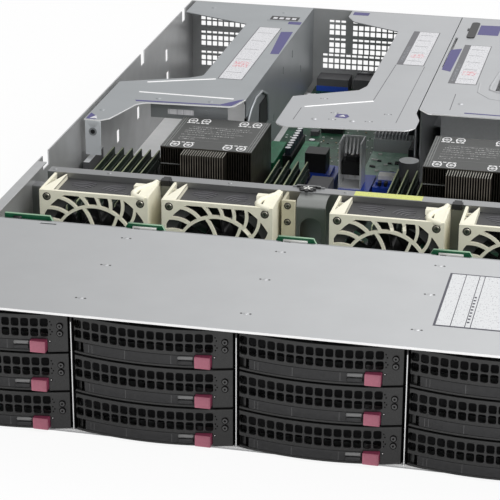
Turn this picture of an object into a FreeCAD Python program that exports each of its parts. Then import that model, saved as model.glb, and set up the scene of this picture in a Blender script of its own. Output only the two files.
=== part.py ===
"""2U rack server with twelve hot-swap drive bays, built as an assembly of separate parts.

Millimetres. +Z is up, +Y runs to the rear and +X to the right, seen from the front.
The origin lies on the underside, midway across, in the plane of the front edges of the drive cage,
which is also the plane where the rack ears seat on the rack's rails.
"""
import FreeCAD
import Part
import Sketcher
import math
import os
import re

SIZES = [
    # whole chassis
    ("bay_columns", 4, "drive bays side by side"),
    ("bay_rows", 3, "drive bays above each other"),
    ("bay_pitch", 108.4, "centre to centre of the bays across"),
    ("row_pitch", 27.5, "centre to centre of the bays upwards"),
    ("wall_steel", 1.0, "sheet of the side walls"),
    ("floor_steel", 1.2, "sheet of the floor"),
    ("floor_lip", 2.0, "how far the floor stands in front of the walls"),
    ("wall_height", 86.2, "top of the side walls"),
    ("chassis_depth", 744.0, "drive cage front edge to rear face"),
    ("running_gap", 0.3, "clearance between pieces that pass each other"),
    ("side_gap", 0.5, "clearance of a carrier beside a divider"),
    ("flange_width", 8.0, "folded top flange beside the fans"),
    ("flange_end", 275.5, "rear end of that flange"),
    ("flange_setback", 12.0, "bare wall top between that flange and the first notch"),
    ("wall_notch", 14.5, "length of the notch behind the bare wall top"),
    ("notch_depth", 11.5, "depth of the notches in the wall tops"),
    ("hook_notch", 12.5, "length of the cover hook notches"),
    ("slot_width", 9.0, "see-through slots in the walls"),
    ("slot_height", 11.5, "height of those slots"),
    # front cover
    ("cover_steel", 0.8, "sheet of the front cover"),
    ("cover_depth", 142.5, "rear edge of the front cover"),
    ("cover_overhang", 8.0, "how far the cover stands in front of the cage"),
    ("cover_lip", 1.7, "height of the folded front edge"),
    # drive cage
    ("divider_steel", 1.0, "sheet of the dividers"),
    ("ledge_steel", 0.8, "thickness of the carrier ledges"),
    ("ledge_reach", 2.2, "how far a ledge stands out from its divider"),
    ("tail_height", 76.0, "top of the dividers behind the cover"),
    # drives and carriers
    ("drive_width", 101.6, "drive"),
    ("drive_height", 26.1, "drive"),
    ("drive_length", 147.0, "drive"),
    ("drive_front", 6.0, "front face of the drive"),
    ("drive_lift", 1.1, "drive and rails above the bay floor"),
    ("rail_height", 18.0, "side rails of a carrier"),
    ("rail_end", 149.5, "rear end of the side rails"),
    ("bezel_height", 25.9, "carrier bezel"),
    ("bezel_lift", 0.4, "bezel above the bay floor"),
    ("bezel_rear", 4.5, "rear face of the bezel"),
    ("bezel_end", 0.6, "where the bowed front starts at its ends"),
    ("bezel_bow", 7.5, "rise of the bowed front"),
    ("bezel_skin", 1.8, "wall of the bezel"),
    ("grille_columns", 15, "grille holes across"),
    ("grille_rows", 2, "grille holes upwards"),
    ("grille_pitch", 6.2, "grille holes across"),
    ("grille_rise", 6.9, "grille holes upwards"),
    ("hole_width", 4.7, "grille hole"),
    ("hole_height", 5.1, "grille hole"),
    ("grille_start", 4.8, "first hole centre from the bay's edge"),
    ("grille_base", 14.1, "lower hole centre above the bay floor"),
    ("lever_start", 9.6, "hinge of the lever from the bay's edge"),
    ("lever_end", 82.3, "free end of the lever"),
    ("lever_thick", 3.0, "lever"),
    ("lever_low", 2.0, "lever above the bay floor"),
    ("lever_height", 6.6, "lever"),
    ("pin_radius", 0.8, "lever hinge pin"),
    ("pin_fit", 0.05, "clearance of the pin in its bore"),
    ("button_start", 83.0, "left side of the release button"),
    ("button_width", 10.4, "release button"),
    ("button_low", 1.4, "release button above the bay floor"),
    ("button_height", 8.0, "release button"),
    ("button_front", 7.6, "how far the button stands in front of the cage"),
    ("button_depth", 7.1, "release button"),
    ("button_travel", 2.5, "stroke of the release button"),
    # backplane
    ("backplane_front", 154.7, "front face of the backplane"),
    ("board_thick", 1.6, "circuit boards"),
    ("backplane_thick", 2.4, "backplane"),
    ("backplane_top", 76.0, "main upper edge of the backplane"),
    ("tab_width", 25.0, "upper edge of a backplane tab"),
    ("first_tab", 33.7, "upper edge of the leftmost tab"),
    ("backplane_margin", 11.0, "backplane to the side walls"),
    ("tab_offset", 6.4, "tab centres to the right of the dividers"),
    ("tab_slope", 5.5, "run of a tab's slanted ends"),
    # fans
    ("fan_width", 83.0, "fan module"),
    ("fan_height", 81.8, "fan module"),
    ("fan_depth", 37.0, "fan module"),
    ("fan_front", 210.5, "front face of the fan modules"),
    ("fan_lift", 2.2, "fan modules above the chassis underside"),
    ("fan_pitch", 93.4, "fans of one pair"),
    ("fan_pair", 109.1, "centre of a pair from the middle"),
    ("fan_shift", 1.2, "both pairs sit left of the middle by this"),
    ("holder_wall", 2.2, "ivory holder"),
    ("guard_thick", 2.5, "guard and front plate"),
    ("fan_bore", 36.5, "radius of the air way through the fan frame"),
    ("guard_bore", 44.0, "radius of the guard's opening, which the plate's border cuts off"),
    ("guard_border", 3.0, "least width of the plate around the guard"),
    ("guard_ring", 30.5, "radius of the ring inside the guard"),
    ("rib_width", 2.2, "ribs, spokes and ring of the guard"),
    ("rib_count", 22, "curved ribs outside the ring"),
    ("rib_bend", 22.0, "radius that a rib is bent to"),
    ("rib_centre", 33.0, "centre of a rib's bend from the fan axis"),
    ("spoke_count", 7, "curved spokes inside the ring"),
    ("spoke_bend", 40.0, "radius that a spoke is bent to"),
    ("blade_count", 7, "blades of a rotor"),
    ("hub_radius", 16.0, "rotor hub"),
    ("blade_tip", 34.5, "reach of a blade"),
    ("blade_chord", 22.0, "blade along the air flow"),
    ("blade_thick", 1.6, "blade"),
    ("shaft_radius", 1.5, "rotor shaft"),
    # fan cage
    ("rail_top", 85.0, "top of the fan rail"),
    ("fan_rail_width", 10.4, "fan rail"),
    ("fan_rail_reach", 204.0, "ends of the fan rail from the middle"),
    ("strip_left", 19.3, "ivory centre strip, left of the middle"),
    ("strip_width", 10.1, "ivory centre strip"),
    ("strip_face", 229.0, "front face of the centre strip"),
    # motherboard
    ("board_low", 8.0, "underside of the motherboard"),
    ("board_front", 268.0, "front edge of the motherboard"),
    ("board_step", 468.0, "where the board narrows"),
    ("board_rear", 737.0, "rear edge of the motherboard"),
    ("board_left", 92.0, "left edge of the narrow part, from the middle"),
    ("board_right", 60.0, "right edge of the narrow part, from the middle"),
    ("board_half", 212.0, "half width of the wide part"),
    ("cpu_offset", 105.0, "processors from the middle"),
    ("cpu_line", 382.0, "processor centres"),
    # coolers
    ("cooler_width", 74.0, "processor cooler"),
    ("cooler_length", 75.0, "processor cooler"),
    ("cooler_low", 16.0, "underside of the cooler base"),
    ("cooler_base", 4.0, "cooler base plate"),
    ("cooler_top", 77.0, "top of the cooler"),
    ("cooler_cap", 1.0, "black plate on the fins"),
    ("fin_count", 38, "fins of a cooler"),
    ("fin_thick", 0.6, "fin"),
    ("tongue_width", 35.0, "longer middle fins"),
    ("tongue_reach", 14.0, "how far the middle fins stand forward"),
    # memory
    ("module_length", 133.3, "memory module"),
    ("module_height", 31.2, "memory module"),
    ("module_front", 290.0, "front end of the modules"),
    ("module_pitch", 7.85, "memory modules"),
    ("module_low", 13.6, "lower edge of the modules"),
    ("inner_modules", 4, "modules on the inner side of a processor"),
    ("outer_modules", 6, "modules on the outer side of a processor"),
    ("inner_start", 6.5, "cooler to the first inner module"),
    ("outer_start", 22.5, "cooler to the first outer module"),
    # riser cages
    ("riser_steel", 1.0, "sheet of the riser cages"),
    ("riser_rear", 742.7, "rear edge of the riser plates"),
    ("riser_foot", 12.0, "lower edge of the riser walls"),
    ("left_wall", 96.0, "left riser's wall, left of the middle"),
    ("middle_wall", 46.5, "middle riser's wall, right of the middle"),
    ("right_wall", 48.6, "right riser's left edge"),
    ("right_reach", 213.0, "right riser's right edge"),
    ("card_pitch", 20.32, "expansion cards"),
    ("card_low", 27.0, "lowest card socket"),
    # power supplies
    ("psu_width", 73.5, "power supply"),
    ("psu_height", 40.0, "power supply"),
    ("psu_length", 203.0, "power supply"),
    ("psu_pitch", 75.0, "power supplies"),
    ("psu_right", 215.1, "right side of the right supply"),
    ("psu_lift", 1.6, "supplies above the chassis underside"),
    ("handle_reach", 24.0, "pull handle behind the supply"),
    ("inlet_width", 27.0, "mains inlet"),
    ("inlet_height", 20.0, "mains inlet"),
    ("inlet_depth", 14.0, "mains inlet"),
    # rear panel
    ("vent_hole", 4.4, "square vent holes"),
    ("vent_pitch", 5.7, "square vent holes"),
    ("gap_hole", 2.2, "flat holes between two card brackets"),
    ("port_low", 9.9, "lower edge of the port opening"),
    ("port_high", 19.3, "upper edge of the port opening"),
    # rack ears
    ("rack_width", 482.6, "over both ears"),
    ("ear_steel", 2.0, "ear plate"),
    ("rack_hole_span", 465.1, "rack hole centres across"),
    ("rack_hole_rise", 76.2, "rack hole centres upwards"),
    ("rack_hole_low", 5.5, "lower hole centres above the underside"),
    ("rack_slot", 11.0, "rack slot, end to end"),
    ("rack_slot_radius", 3.5, "half the width of a rack slot"),
    ("ear_leg", 40.0, "ear leg along the side wall"),
    ("panel_width", 8.2, "operating panel on an ear"),
    ("panel_depth", 8.0, "operating panel on an ear"),
    ("power_radius", 3.0, "power button"),
    ("power_travel", 1.5, "stroke of the power button"),
]

NAMES = {row[0] for row in SIZES}
WORD = re.compile(r"[a-z_]+")

HALF = "(bay_columns * bay_pitch / 2)"
OUTER = f"({HALF} + wall_steel)"
COVER_TOP = "(wall_height + cover_steel)"
LEDGE_FRONT = "(bezel_rear + side_gap)"
BEZEL_LEFT = "(divider_steel / 2 + side_gap)"
BEZEL_WIDTH = f"(bay_pitch - 2 * {BEZEL_LEFT})"
BEZEL_RADIUS = f"({BEZEL_WIDTH} ^ 2 / 8 / bezel_bow + bezel_bow / 2)"
BEZEL_NOSE = "(bezel_end - bezel_bow)"
BEZEL_AXIS = f"({BEZEL_NOSE} + {BEZEL_RADIUS})"
HINGE_DEPTH = f"({BEZEL_AXIS} - sqrt({BEZEL_RADIUS} ^ 2 - (bay_pitch / 2 - lever_start) ^ 2) + lever_thick / 2)"
RAIL_WIDTH = f"((bay_pitch - drive_width) / 2 - {BEZEL_LEFT})"
BOARD_TOP = "(board_low + board_thick)"
PLUG_FRONT = "(drive_front + drive_length + running_gap)"
PLATE_LOW = "(wall_height - riser_steel)"
FAN_REAR = "(fan_front + fan_depth)"
FAN_AXIS = "(fan_height / 2)"
RAIL_FRONT = f"({FAN_REAR} + running_gap)"
PSU_TOP = "(psu_lift + psu_height)"

doc = FreeCAD.newDocument("rack_server")
parts = []


def write_sizes():
    """Puts every driving dimension in the sheet, each with a name of its own."""
    sheet = doc.addObject("Spreadsheet::Sheet", "Sizes")
    for row, (name, size, note) in enumerate(SIZES, start=1):
        sheet.set(f"A{row}", note)
        sheet.set(f"B{row}", str(size))
        sheet.setAlias(f"B{row}", name)
    doc.recompute()
    return sheet


sizes = write_sizes()


def tied(text):
    """An expression in which each size's name points at its cell of the sheet."""
    return WORD.sub(lambda word: "Sizes." + word[0] if word[0] in NAMES else word[0], str(text))


def value(text):
    """The present value of an expression in the sheet's names."""
    return float(sizes.evalExpression(tied(text)))


def whole(name):
    """A size that counts something."""
    return int(value(name))


def put(item, at):
    """Ties an object's place to the sheet."""
    for axis, text in zip("xyz", at):
        item.setExpression(f"Placement.Base.{axis}", tied(text))


def box(name, at, size):
    """A block from its low corner and its three lengths."""
    solid = doc.addObject("Part::Box", name)
    put(solid, at)
    for side, text in zip(("Length", "Width", "Height"), size):
        solid.setExpression(side, tied(text))
    return solid


TURNS = {
    "x": FreeCAD.Rotation(FreeCAD.Vector(0, 1, 0), 90),
    "y": FreeCAD.Rotation(FreeCAD.Vector(1, 0, 0), -90),
    "z": FreeCAD.Rotation(),
}


def rod(name, at, axis, radius, length):
    """A round bar from the centre of its first end along an axis."""
    solid = doc.addObject("Part::Cylinder", name)
    solid.Placement = FreeCAD.Placement(FreeCAD.Vector(), TURNS[axis])
    put(solid, at)
    solid.setExpression("Radius", tied(radius))
    solid.setExpression("Height", tied(length))
    return solid


def fuse(name, pieces):
    """Several solids joined into one."""
    joined = doc.addObject("Part::MultiFuse", name)
    joined.Shapes = pieces
    joined.Refine = True
    return joined


def bundle(name, pieces):
    """Several solids kept apart under one placement."""
    held = doc.addObject("Part::Compound", name)
    held.Links = pieces
    return held


def cut(name, base, tools):
    """A solid less its tools."""
    left = doc.addObject("Part::Cut", name)
    left.Base = base
    left.Tool = tools[0] if len(tools) == 1 else bundle(name + "_tools", tools)
    left.Refine = True
    return left


def common(name, base, tool):
    """What two solids share."""
    shared = doc.addObject("Part::Common", name)
    shared.Base = base
    shared.Tool = tool
    return shared


def part(label, pieces, at=("0", "0", "0")):
    """A finished sub-part: its solids under one label, put in its place."""
    made = bundle(label, pieces)
    made.Label = label
    put(made, at)
    parts.append(made)
    return made


def new_sketch(body, name, plane):
    """An empty sketch on one of its own body's origin planes."""
    sketch = body.newObject("Sketcher::SketchObject", name)
    flat = next(item for item in body.Origin.OriginFeatures if item.Role == plane)
    sketch.AttachmentSupport = (flat, [""])
    sketch.MapMode = "FlatFace"
    return sketch


def add_loop(sketch, corners):
    """A closed outline whose corners are tied to the sheet."""
    first = sketch.GeometryCount
    points = [FreeCAD.Vector(value(across), value(up), 0) for across, up in corners]
    count = len(points)
    for index in range(count):
        sketch.addGeometry(Part.LineSegment(points[index], points[(index + 1) % count]), False)
    for index, (across, up) in enumerate(corners):
        line = first + index
        after = first + (index + 1) % count
        sketch.addConstraint(Sketcher.Constraint("Coincident", line, 2, after, 1))
        for kind, text in (("DistanceX", across), ("DistanceY", up)):
            tie = sketch.addConstraint(Sketcher.Constraint(kind, -1, 1, line, 1, value(text)))
            sketch.setExpression(f"Constraints[{tie}]", tied(text))


def plate(name, plane, corners, thickness, at, rounds=(), reverse=False):
    """A flat piece cut to an outline, some of whose corners are rounded."""
    body = doc.addObject("PartDesign::Body", name)
    sketch = new_sketch(body, name + "_outline", plane)
    add_loop(sketch, corners)
    pad = body.newObject("PartDesign::Pad", name + "_pad")
    pad.Profile = sketch
    pad.Reversed = reverse
    pad.setExpression("Length", tied(thickness))
    doc.recompute()
    for number, (index, radius) in enumerate(rounds):
        across, up = (value(text) for text in corners[index])
        base = body.Tip
        names = []
        for edge_number, edge in enumerate(base.Shape.Edges, start=1):
            ends = [vertex.Point for vertex in edge.Vertexes]
            if plane == "XY_Plane":
                spots = [(end.x, end.y) for end in ends]
            else:
                spots = [(end.x, end.z) for end in ends]
            if len(ends) == 2 and all(abs(a - across) + abs(b - up) < 1e-4 for a, b in spots):
                names.append(f"Edge{edge_number}")
        rounding = body.newObject("PartDesign::Fillet", f"{name}_round_{number}")
        rounding.Base = (base, names)
        rounding.setExpression("Radius", tied(radius))
        doc.recompute()
    put(body, at)
    return body


def slot_tool(name, at, length, radius, depth):
    """The cutter of a slot that lies along X and is cut along Y; the place is the slot's centre."""
    across, along, up = at
    reach = f"({length} / 2 - {radius})"
    middle = box(name + "_flat", (f"{across} - {reach}", along, f"{up} - {radius}"),
                 (f"2 * {reach}", depth, f"2 * {radius}"))
    left = rod(name + "_left", (f"{across} - {reach}", along, up), "y", radius, depth)
    right = rod(name + "_right", (f"{across} + {reach}", along, up), "y", radius, depth)
    return fuse(name, [middle, left, right])


# ---------------------------------------------------------------- chassis


def chassis_tray():
    """Floor and side walls folded from one sheet, with the outer carrier ledges and wall slots."""
    sheet = [box("tray_floor", (f"-{OUTER}", "-floor_lip", 0),
                 (f"2 * {OUTER}", "chassis_depth + floor_lip", "floor_steel"))]
    cutters = []
    for side, left, flange in (("left", f"-{OUTER}", f"-{OUTER}"),
                               ("right", HALF, f"{OUTER} - flange_width")):
        sheet.append(box(f"tray_{side}", (left, 0, 0), ("wall_steel", "chassis_depth", "wall_height")))
        sheet.append(box(f"tray_{side}_flange",
                         (flange, "cover_depth + running_gap", "wall_height - wall_steel"),
                         ("flange_width", "flange_end - flange_setback - cover_depth - running_gap", "wall_steel")))
        ledge_left = f"-{HALF}" if side == "left" else f"{HALF} - divider_steel / 2 - ledge_reach"
        for row in range(whole("bay_rows")):
            sheet.append(box(f"tray_{side}_ledge_{row}",
                             (ledge_left, LEDGE_FRONT, f"floor_steel + {row} * row_pitch"),
                             ("divider_steel / 2 + ledge_reach", f"cover_depth - {LEDGE_FRONT}",
                              "ledge_steel")))
        for number, (start, length) in enumerate((("flange_end", "wall_notch"), ("555.5", "hook_notch"),
                                                  ("702.5", "hook_notch"))):
            cutters.append(box(f"notch_{side}_{number}",
                               (f"{left} - wall_steel", start, "wall_height - notch_depth"),
                               ("3 * wall_steel", length, "notch_depth + wall_steel")))
        for number, (along, low) in enumerate((("640.5", "53.5"), ("643", "31"), ("540.5", "29"),
                                               ("475.5", "28.5"))):
            cutters.append(box(f"wall_slot_{side}_{number}", (f"{left} - wall_steel", along, low),
                               ("3 * wall_steel", "slot_width", "slot_height")))
    return part("chassis_tray", [cut("tray_sheet", fuse("tray_folded", sheet), cutters)])


def drive_bay_cover():
    """The fixed front half of the top cover, folded down at its front edge."""
    top = box("cover_top", (f"-{OUTER}", "-cover_overhang", "wall_height"),
              (f"2 * {OUTER}", "cover_depth + cover_overhang", "cover_steel"))
    lip = box("cover_front_lip", (f"-{OUTER}", "-cover_overhang", f"{COVER_TOP} - cover_lip"),
              (f"2 * {OUTER}", "cover_steel", "cover_lip"))
    hook = box("cover_hook_slot", ("-174", "cover_depth - 5", "wall_height - cover_steel"),
               ("12", "2", "3 * cover_steel"))
    return part("drive_bay_cover", [cut("cover_sheet", fuse("cover_folded", [top, lip]), [hook])])


def drive_cage():
    """The upright dividers between the bay columns, with a ledge for each carrier on both sides."""
    dividers = []
    for column in range(1, whole("bay_columns")):
        centre = f"({column} * bay_pitch - {HALF})"
        blade = box(f"divider_{column}_blade", (f"{centre} - divider_steel / 2", 0, "floor_steel"),
                    ("divider_steel", "cover_depth", "wall_height - floor_steel"))
        tail = box(f"divider_{column}_tail", (f"{centre} - divider_steel / 2", 0, "floor_steel"),
                   ("divider_steel", "backplane_front", "tail_height - floor_steel"))
        ledges = [box(f"divider_{column}_ledge_{row}",
                      (f"{centre} - divider_steel / 2 - ledge_reach", LEDGE_FRONT,
                       f"floor_steel + {row} * row_pitch"),
                      ("divider_steel + 2 * ledge_reach", f"cover_depth - {LEDGE_FRONT}", "ledge_steel"))
                  for row in range(whole("bay_rows"))]
        dividers.append(fuse(f"divider_{column}", [blade, tail] + ledges))
    return part("drive_cage", dividers)


# ---------------------------------------------------------------- drives, carriers, levers, buttons


def bezel_block(name, radius, left, width, low, height):
    """The part of a block in front of the bezel's rear face and inside its bowed front."""
    block = box(name + "_block", (left, BEZEL_NOSE, low), (width, f"bezel_rear - {BEZEL_NOSE}", height))
    bow = rod(name + "_bow", ("bay_pitch / 2", BEZEL_AXIS, low), "z", radius, height)
    return common(name, block, bow)


def lever_recess():
    """The space between the bowed front and the wall behind the lever."""
    space = box("recess_block", ("lever_start - lever_thick / 2 - 2 * running_gap", BEZEL_NOSE + " - 1",
                                 "lever_low - running_gap"),
                ("button_start - lever_start + lever_thick", "bezel_bow + 4",
                 "lever_height + 2 * running_gap"))
    wall = rod("recess_wall", ("bay_pitch / 2", BEZEL_AXIS, "lever_low - 1"), "z",
               f"{BEZEL_RADIUS} - lever_thick - running_gap", "lever_height + 2")
    return cut("recess", space, [wall])


def carrier_frame():
    """Bezel and side rails of a carrier, moulded and riveted into one frame."""
    front = bezel_block("bezel", BEZEL_RADIUS, BEZEL_LEFT, BEZEL_WIDTH, "bezel_lift", "bezel_height")
    inside = bezel_block("bezel_inside", f"{BEZEL_RADIUS} - bezel_skin", f"{BEZEL_LEFT} + bezel_skin",
                         f"{BEZEL_WIDTH} - 2 * bezel_skin", "button_low + button_height + 2 * running_gap",
                         "bezel_lift + bezel_height - bezel_skin - button_low - button_height"
                         " - 2 * running_gap")
    opening = box("bezel_opening", (f"{BEZEL_LEFT} + bezel_skin", "bezel_rear - bezel_skin",
                                    "button_low + button_height + 2 * running_gap"),
                  (f"{BEZEL_WIDTH} - 2 * bezel_skin", "2 * bezel_skin",
                   "bezel_lift + bezel_height - bezel_skin - button_low - button_height"
                   " - 2 * running_gap"))
    pocket = box("button_pocket", ("button_start - running_gap", "-button_front - 1", "0"),
                 ("button_width + 2 * running_gap",
                  "button_depth + 1 + button_travel + running_gap",
                  "button_low + button_height + running_gap"))
    holes = []
    for row in range(whole("grille_rows")):
        for column in range(whole("grille_columns")):
            holes.append(box(f"grille_{row}_{column}",
                             (f"grille_start + {column} * grille_pitch - hole_width / 2",
                              BEZEL_NOSE + " - 1",
                              f"grille_base + {row} * grille_rise - hole_height / 2"),
                             ("hole_width", f"bezel_rear - {BEZEL_NOSE}", "hole_height")))
    shell = cut("bezel_shell", front, [fuse("bezel_hollow", [inside, opening])])
    shell = cut("bezel_recessed", shell, [fuse("bezel_spaces", [lever_recess(), pocket])])
    shell = cut("bezel_grille", shell, holes)
    rails = [box(f"rail_{side}", (left, "bezel_rear", "drive_lift"),
                 (RAIL_WIDTH, "rail_end - bezel_rear", "rail_height"))
             for side, left in (("left", BEZEL_LEFT), ("right", f"bay_pitch - {BEZEL_LEFT} - {RAIL_WIDTH}"))]
    return fuse("carrier_frame", [shell] + rails)


def carrier_pieces():
    """Frame, drive and hinge pin of one carrier."""
    drive = box("drive", ("(bay_pitch - drive_width) / 2", "drive_front", "drive_lift"),
                ("drive_width", "drive_length", "drive_height"))
    pin = rod("lever_pin", ("lever_start", HINGE_DEPTH, "lever_low - running_gap"), "z",
              "pin_radius", "lever_height + 2 * running_gap")
    return [carrier_frame(), drive, pin]


def lever():
    """A bowed lever with a knuckle around its hinge pin."""
    bar = box("lever_block", ("lever_start", BEZEL_NOSE, "lever_low"),
              ("lever_end - lever_start", "bezel_bow + lever_thick", "lever_height"))
    outside = rod("lever_outside", ("bay_pitch / 2", BEZEL_AXIS, "lever_low"), "z", BEZEL_RADIUS,
                  "lever_height")
    inside = rod("lever_inside", ("bay_pitch / 2", BEZEL_AXIS, "lever_low - 1"), "z",
                 f"{BEZEL_RADIUS} - lever_thick", "lever_height + 2")
    bowed = cut("lever_bar", common("lever_bowed", bar, outside), [inside])
    knuckle = rod("lever_knuckle", ("lever_start", HINGE_DEPTH, "lever_low"), "z", "lever_thick / 2",
                  "lever_height")
    bore = rod("lever_bore", ("lever_start", HINGE_DEPTH, "lever_low - 1"), "z",
               "pin_radius + pin_fit", "lever_height + 2")
    return cut("lever", fuse("lever_blank", [bowed, knuckle]), [bore])


def release_button():
    """The sprung tab that holds the lever shut."""
    return box("release_button", ("button_start", "-button_front", "button_low"),
               ("button_width", "button_depth", "button_height"))


def drive_bays():
    """A carrier, a lever and a button for each bay."""
    carrier, handle, button = carrier_pieces(), [lever()], [release_button()]
    for row in range(whole("bay_rows")):
        for column in range(whole("bay_columns")):
            spot = (f"{column} * bay_pitch - {HALF}", 0, f"floor_steel + {row} * row_pitch")
            name = f"{row + 1}_{column + 1}"
            part(f"drive_carrier_{name}", carrier, spot)
            part(f"carrier_lever_{name}", handle, spot)
            part(f"release_button_{name}", button, spot)


# ---------------------------------------------------------------- backplane


def backplane():
    """Board behind the drives, with a connector for each drive and tabs that carry power plugs."""
    margin = "backplane_margin"
    corners = [(f"-{HALF} + {margin}", "floor_steel + running_gap"),
               (f"{HALF} - {margin}", "floor_steel + running_gap"),
               (f"{HALF} - {margin}", "backplane_top")]
    for column in range(whole("bay_columns") - 1, 0, -1):
        centre = f"({column} * bay_pitch - {HALF} + tab_offset)"
        corners += [(f"{centre} + tab_width / 2 + tab_slope", "backplane_top"),
                    (f"{centre} + tab_width / 2", "wall_height - running_gap"),
                    (f"{centre} - tab_width / 2", "wall_height - running_gap"),
                    (f"{centre} - tab_width / 2 - tab_slope", "backplane_top")]
    corners += [(f"-{HALF} + {margin} + first_tab + tab_slope", "backplane_top"),
                (f"-{HALF} + {margin} + first_tab", "wall_height - running_gap"),
                (f"-{HALF} + {margin}", "wall_height - running_gap")]
    board = plate("backplane_board", "XZ_Plane", corners, "backplane_thick", (0, "backplane_front", 0),
                  reverse=True)
    vents = []
    plugs = []
    for column in range(whole("bay_columns")):
        middle = f"(({column} + 0.5) * bay_pitch - {HALF})"
        for row in range(whole("bay_rows")):
            floor = f"(floor_steel + {row} * row_pitch)"
            vents.append(box(f"backplane_vent_{row}_{column}",
                             (f"{middle} - 5", "backplane_front - 1", f"{floor} + 4"),
                             ("45", "backplane_thick + 2", "14")))
            plugs.append(box(f"drive_plug_{row}_{column}",
                             (f"{middle} - 45", PLUG_FRONT, f"{floor} + 6"),
                             ("34", f"backplane_front - {PLUG_FRONT}", "8")))
    for column in range(1, whole("bay_columns")):
        centre = f"({column} * bay_pitch - {HALF} + tab_offset)"
        plugs.append(box(f"tab_plug_{column}", (f"{centre} - 8", PLUG_FRONT, "78"),
                         ("16", f"backplane_front - {PLUG_FRONT}", "5.6")))
    return part("backplane", [cut("backplane_sheet", board, vents)] + plugs)


# ---------------------------------------------------------------- fans


def fan_centre(number):
    """Where a fan module stands across the chassis: two pairs, one on each side."""
    side = "-" if number < 2 else "+"
    within = "-" if number % 2 == 0 else "+"
    return f"({side} fan_pair {within} fan_pitch / 2 - fan_shift)"


def bent_bar(name, centre, bend, start, sweep):
    """Flat curved bar, bent about an axis beside the guard's middle."""
    outside = rod(f"{name}_outside", (0, 0, 0), "z", f"{bend} + rib_width / 2", "guard_thick")
    outside.Placement = FreeCAD.Placement(FreeCAD.Vector(), FreeCAD.Rotation(FreeCAD.Vector(0, 0, 1), start))
    put(outside, (centre, 0, 0))
    outside.Angle = sweep
    inside = rod(f"{name}_inside", (centre, 0, -1), "z", f"{bend} - rib_width / 2", "guard_thick + 2")
    return cut(name, outside, [inside])


def turned_copies(name, item, count, first):
    """Evenly turned copies of a bar around the guard's middle."""
    copies = []
    for number in range(count):
        copy = bundle(f"{name}_{number}", [item])
        turn = FreeCAD.Rotation(FreeCAD.Vector(0, 0, 1), first + 360 / count * number)
        copy.Placement = FreeCAD.Placement(FreeCAD.Vector(), turn)
        copies.append(copy)
    return copies


def guard_ribs():
    """Ring with curved spokes inside it and swept ribs outside it, all bent the same way."""
    rib = common("rib_trimmed", bent_bar("rib", "rib_centre", "rib_bend", 200, 110),
                 cut("rib_zone", rod("rib_reach", (0, 0, 0), "z", "guard_bore + 1.5", "guard_thick"),
                     [rod("rib_start", (0, 0, -1), "z", "guard_ring", "guard_thick + 2")]))
    chord = 2 * math.degrees(math.asin(value("guard_ring") / 2 / value("spoke_bend")))
    spoke = bent_bar("spoke", "spoke_bend", "spoke_bend", 180, chord)
    ring = cut("guard_ring_band", rod("ring_outside", (0, 0, 0), "z", "guard_ring + rib_width / 2", "guard_thick"),
               [rod("ring_inside", (0, 0, -1), "z", "guard_ring - rib_width / 2", "guard_thick + 2")])
    middle = rod("rib_middle", (0, 0, 0), "z", "hub_radius / 2", "guard_thick")
    bars = turned_copies("rib_copy", rib, whole("rib_count"), 155)
    bars += turned_copies("spoke_copy", spoke, whole("spoke_count"), 19)
    window = box("rib_window", ("-fan_width / 2 + guard_border - 0.5", "-fan_height / 2 + guard_border - 1", 0),
                 ("fan_width - 2 * guard_border + 1", "fan_height - 2 * guard_border + 2", "guard_thick"))
    star = common("rib_star", fuse("rib_all", bars + [ring, middle]), window)
    upright = bundle("rib_guard", [star])
    upright.Placement = FreeCAD.Placement(FreeCAD.Vector(), FreeCAD.Rotation(FreeCAD.Vector(1, 0, 0), 90))
    put(upright, (0, "guard_thick", FAN_AXIS))
    return upright


def fan_holder():
    """Ivory holder: front plate with the guard, two cheeks, a bottom and the release latch."""
    half = "(fan_width / 2)"
    opening = common("holder_opening",
                     rod("holder_bore", (0, -1, FAN_AXIS), "y", "guard_bore", "guard_thick + 2"),
                     box("holder_window", (f"-{half} + guard_border", -1, "guard_border"),
                         ("fan_width - 2 * guard_border", "guard_thick + 2", "fan_height - 2 * guard_border")))
    face = cut("holder_face_open",
               box("holder_face", (f"-{half}", 0, 0), ("fan_width", "guard_thick", "fan_height")), [opening])
    pieces = [face, guard_ribs()]
    for side, left in (("left", f"-{half}"), ("right", f"{half} - holder_wall")):
        pieces.append(box(f"holder_{side}", (left, 0, 0), ("holder_wall", "fan_depth", "fan_height")))
    pieces.append(box("holder_bottom", (f"-{half}", 0, 0), ("fan_width", "fan_depth", "holder_wall")))
    pieces.append(box("latch_arm", (f"{half} - 9", "guard_thick", "fan_height - 4.5"),
                      ("9", "fan_depth - 10", "4.5")))
    pieces.append(box("latch_finger", (f"{half} - 17", "fan_depth - 14", "fan_height - 4.5"),
                      ("17", "6.5", "4.5")))
    return fuse("fan_holder", pieces)


def fan_frame():
    """Black fan frame with its air bore, motor seat, struts and shaft."""
    side = "(fan_width - 2 * holder_wall - 2 * running_gap)"
    low = "(holder_wall + running_gap)"
    rear = "(fan_depth - guard_thick - running_gap)"
    front = "(guard_thick + running_gap)"
    block = box("frame_block", (f"-{side} / 2", front, low), (side, rear, f"fan_height - 8 - {low}"))
    hollow = cut("frame_open", block, [rod("frame_bore", (0, 0, FAN_AXIS), "y", "fan_bore", "fan_depth + 1")])
    seat = rod("motor_seat", (0, "fan_depth - 5", FAN_AXIS), "y", "hub_radius + 1", "5")
    struts = [box("strut_across", ("-fan_bore - 1", "fan_depth - 3", f"{FAN_AXIS} - 1.5"),
                  ("2 * fan_bore + 2", "3", "3")),
              box("strut_upright", ("-1.5", "fan_depth - 3", f"{FAN_AXIS} - fan_bore - 0.3"),
                  ("3", "3", "2 * fan_bore + 0.6"))]
    shaft = rod("fan_shaft", (0, "fan_depth - 20", FAN_AXIS), "y", "shaft_radius", "16")
    return fuse("fan_frame", [hollow, seat, shaft] + struts)


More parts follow.
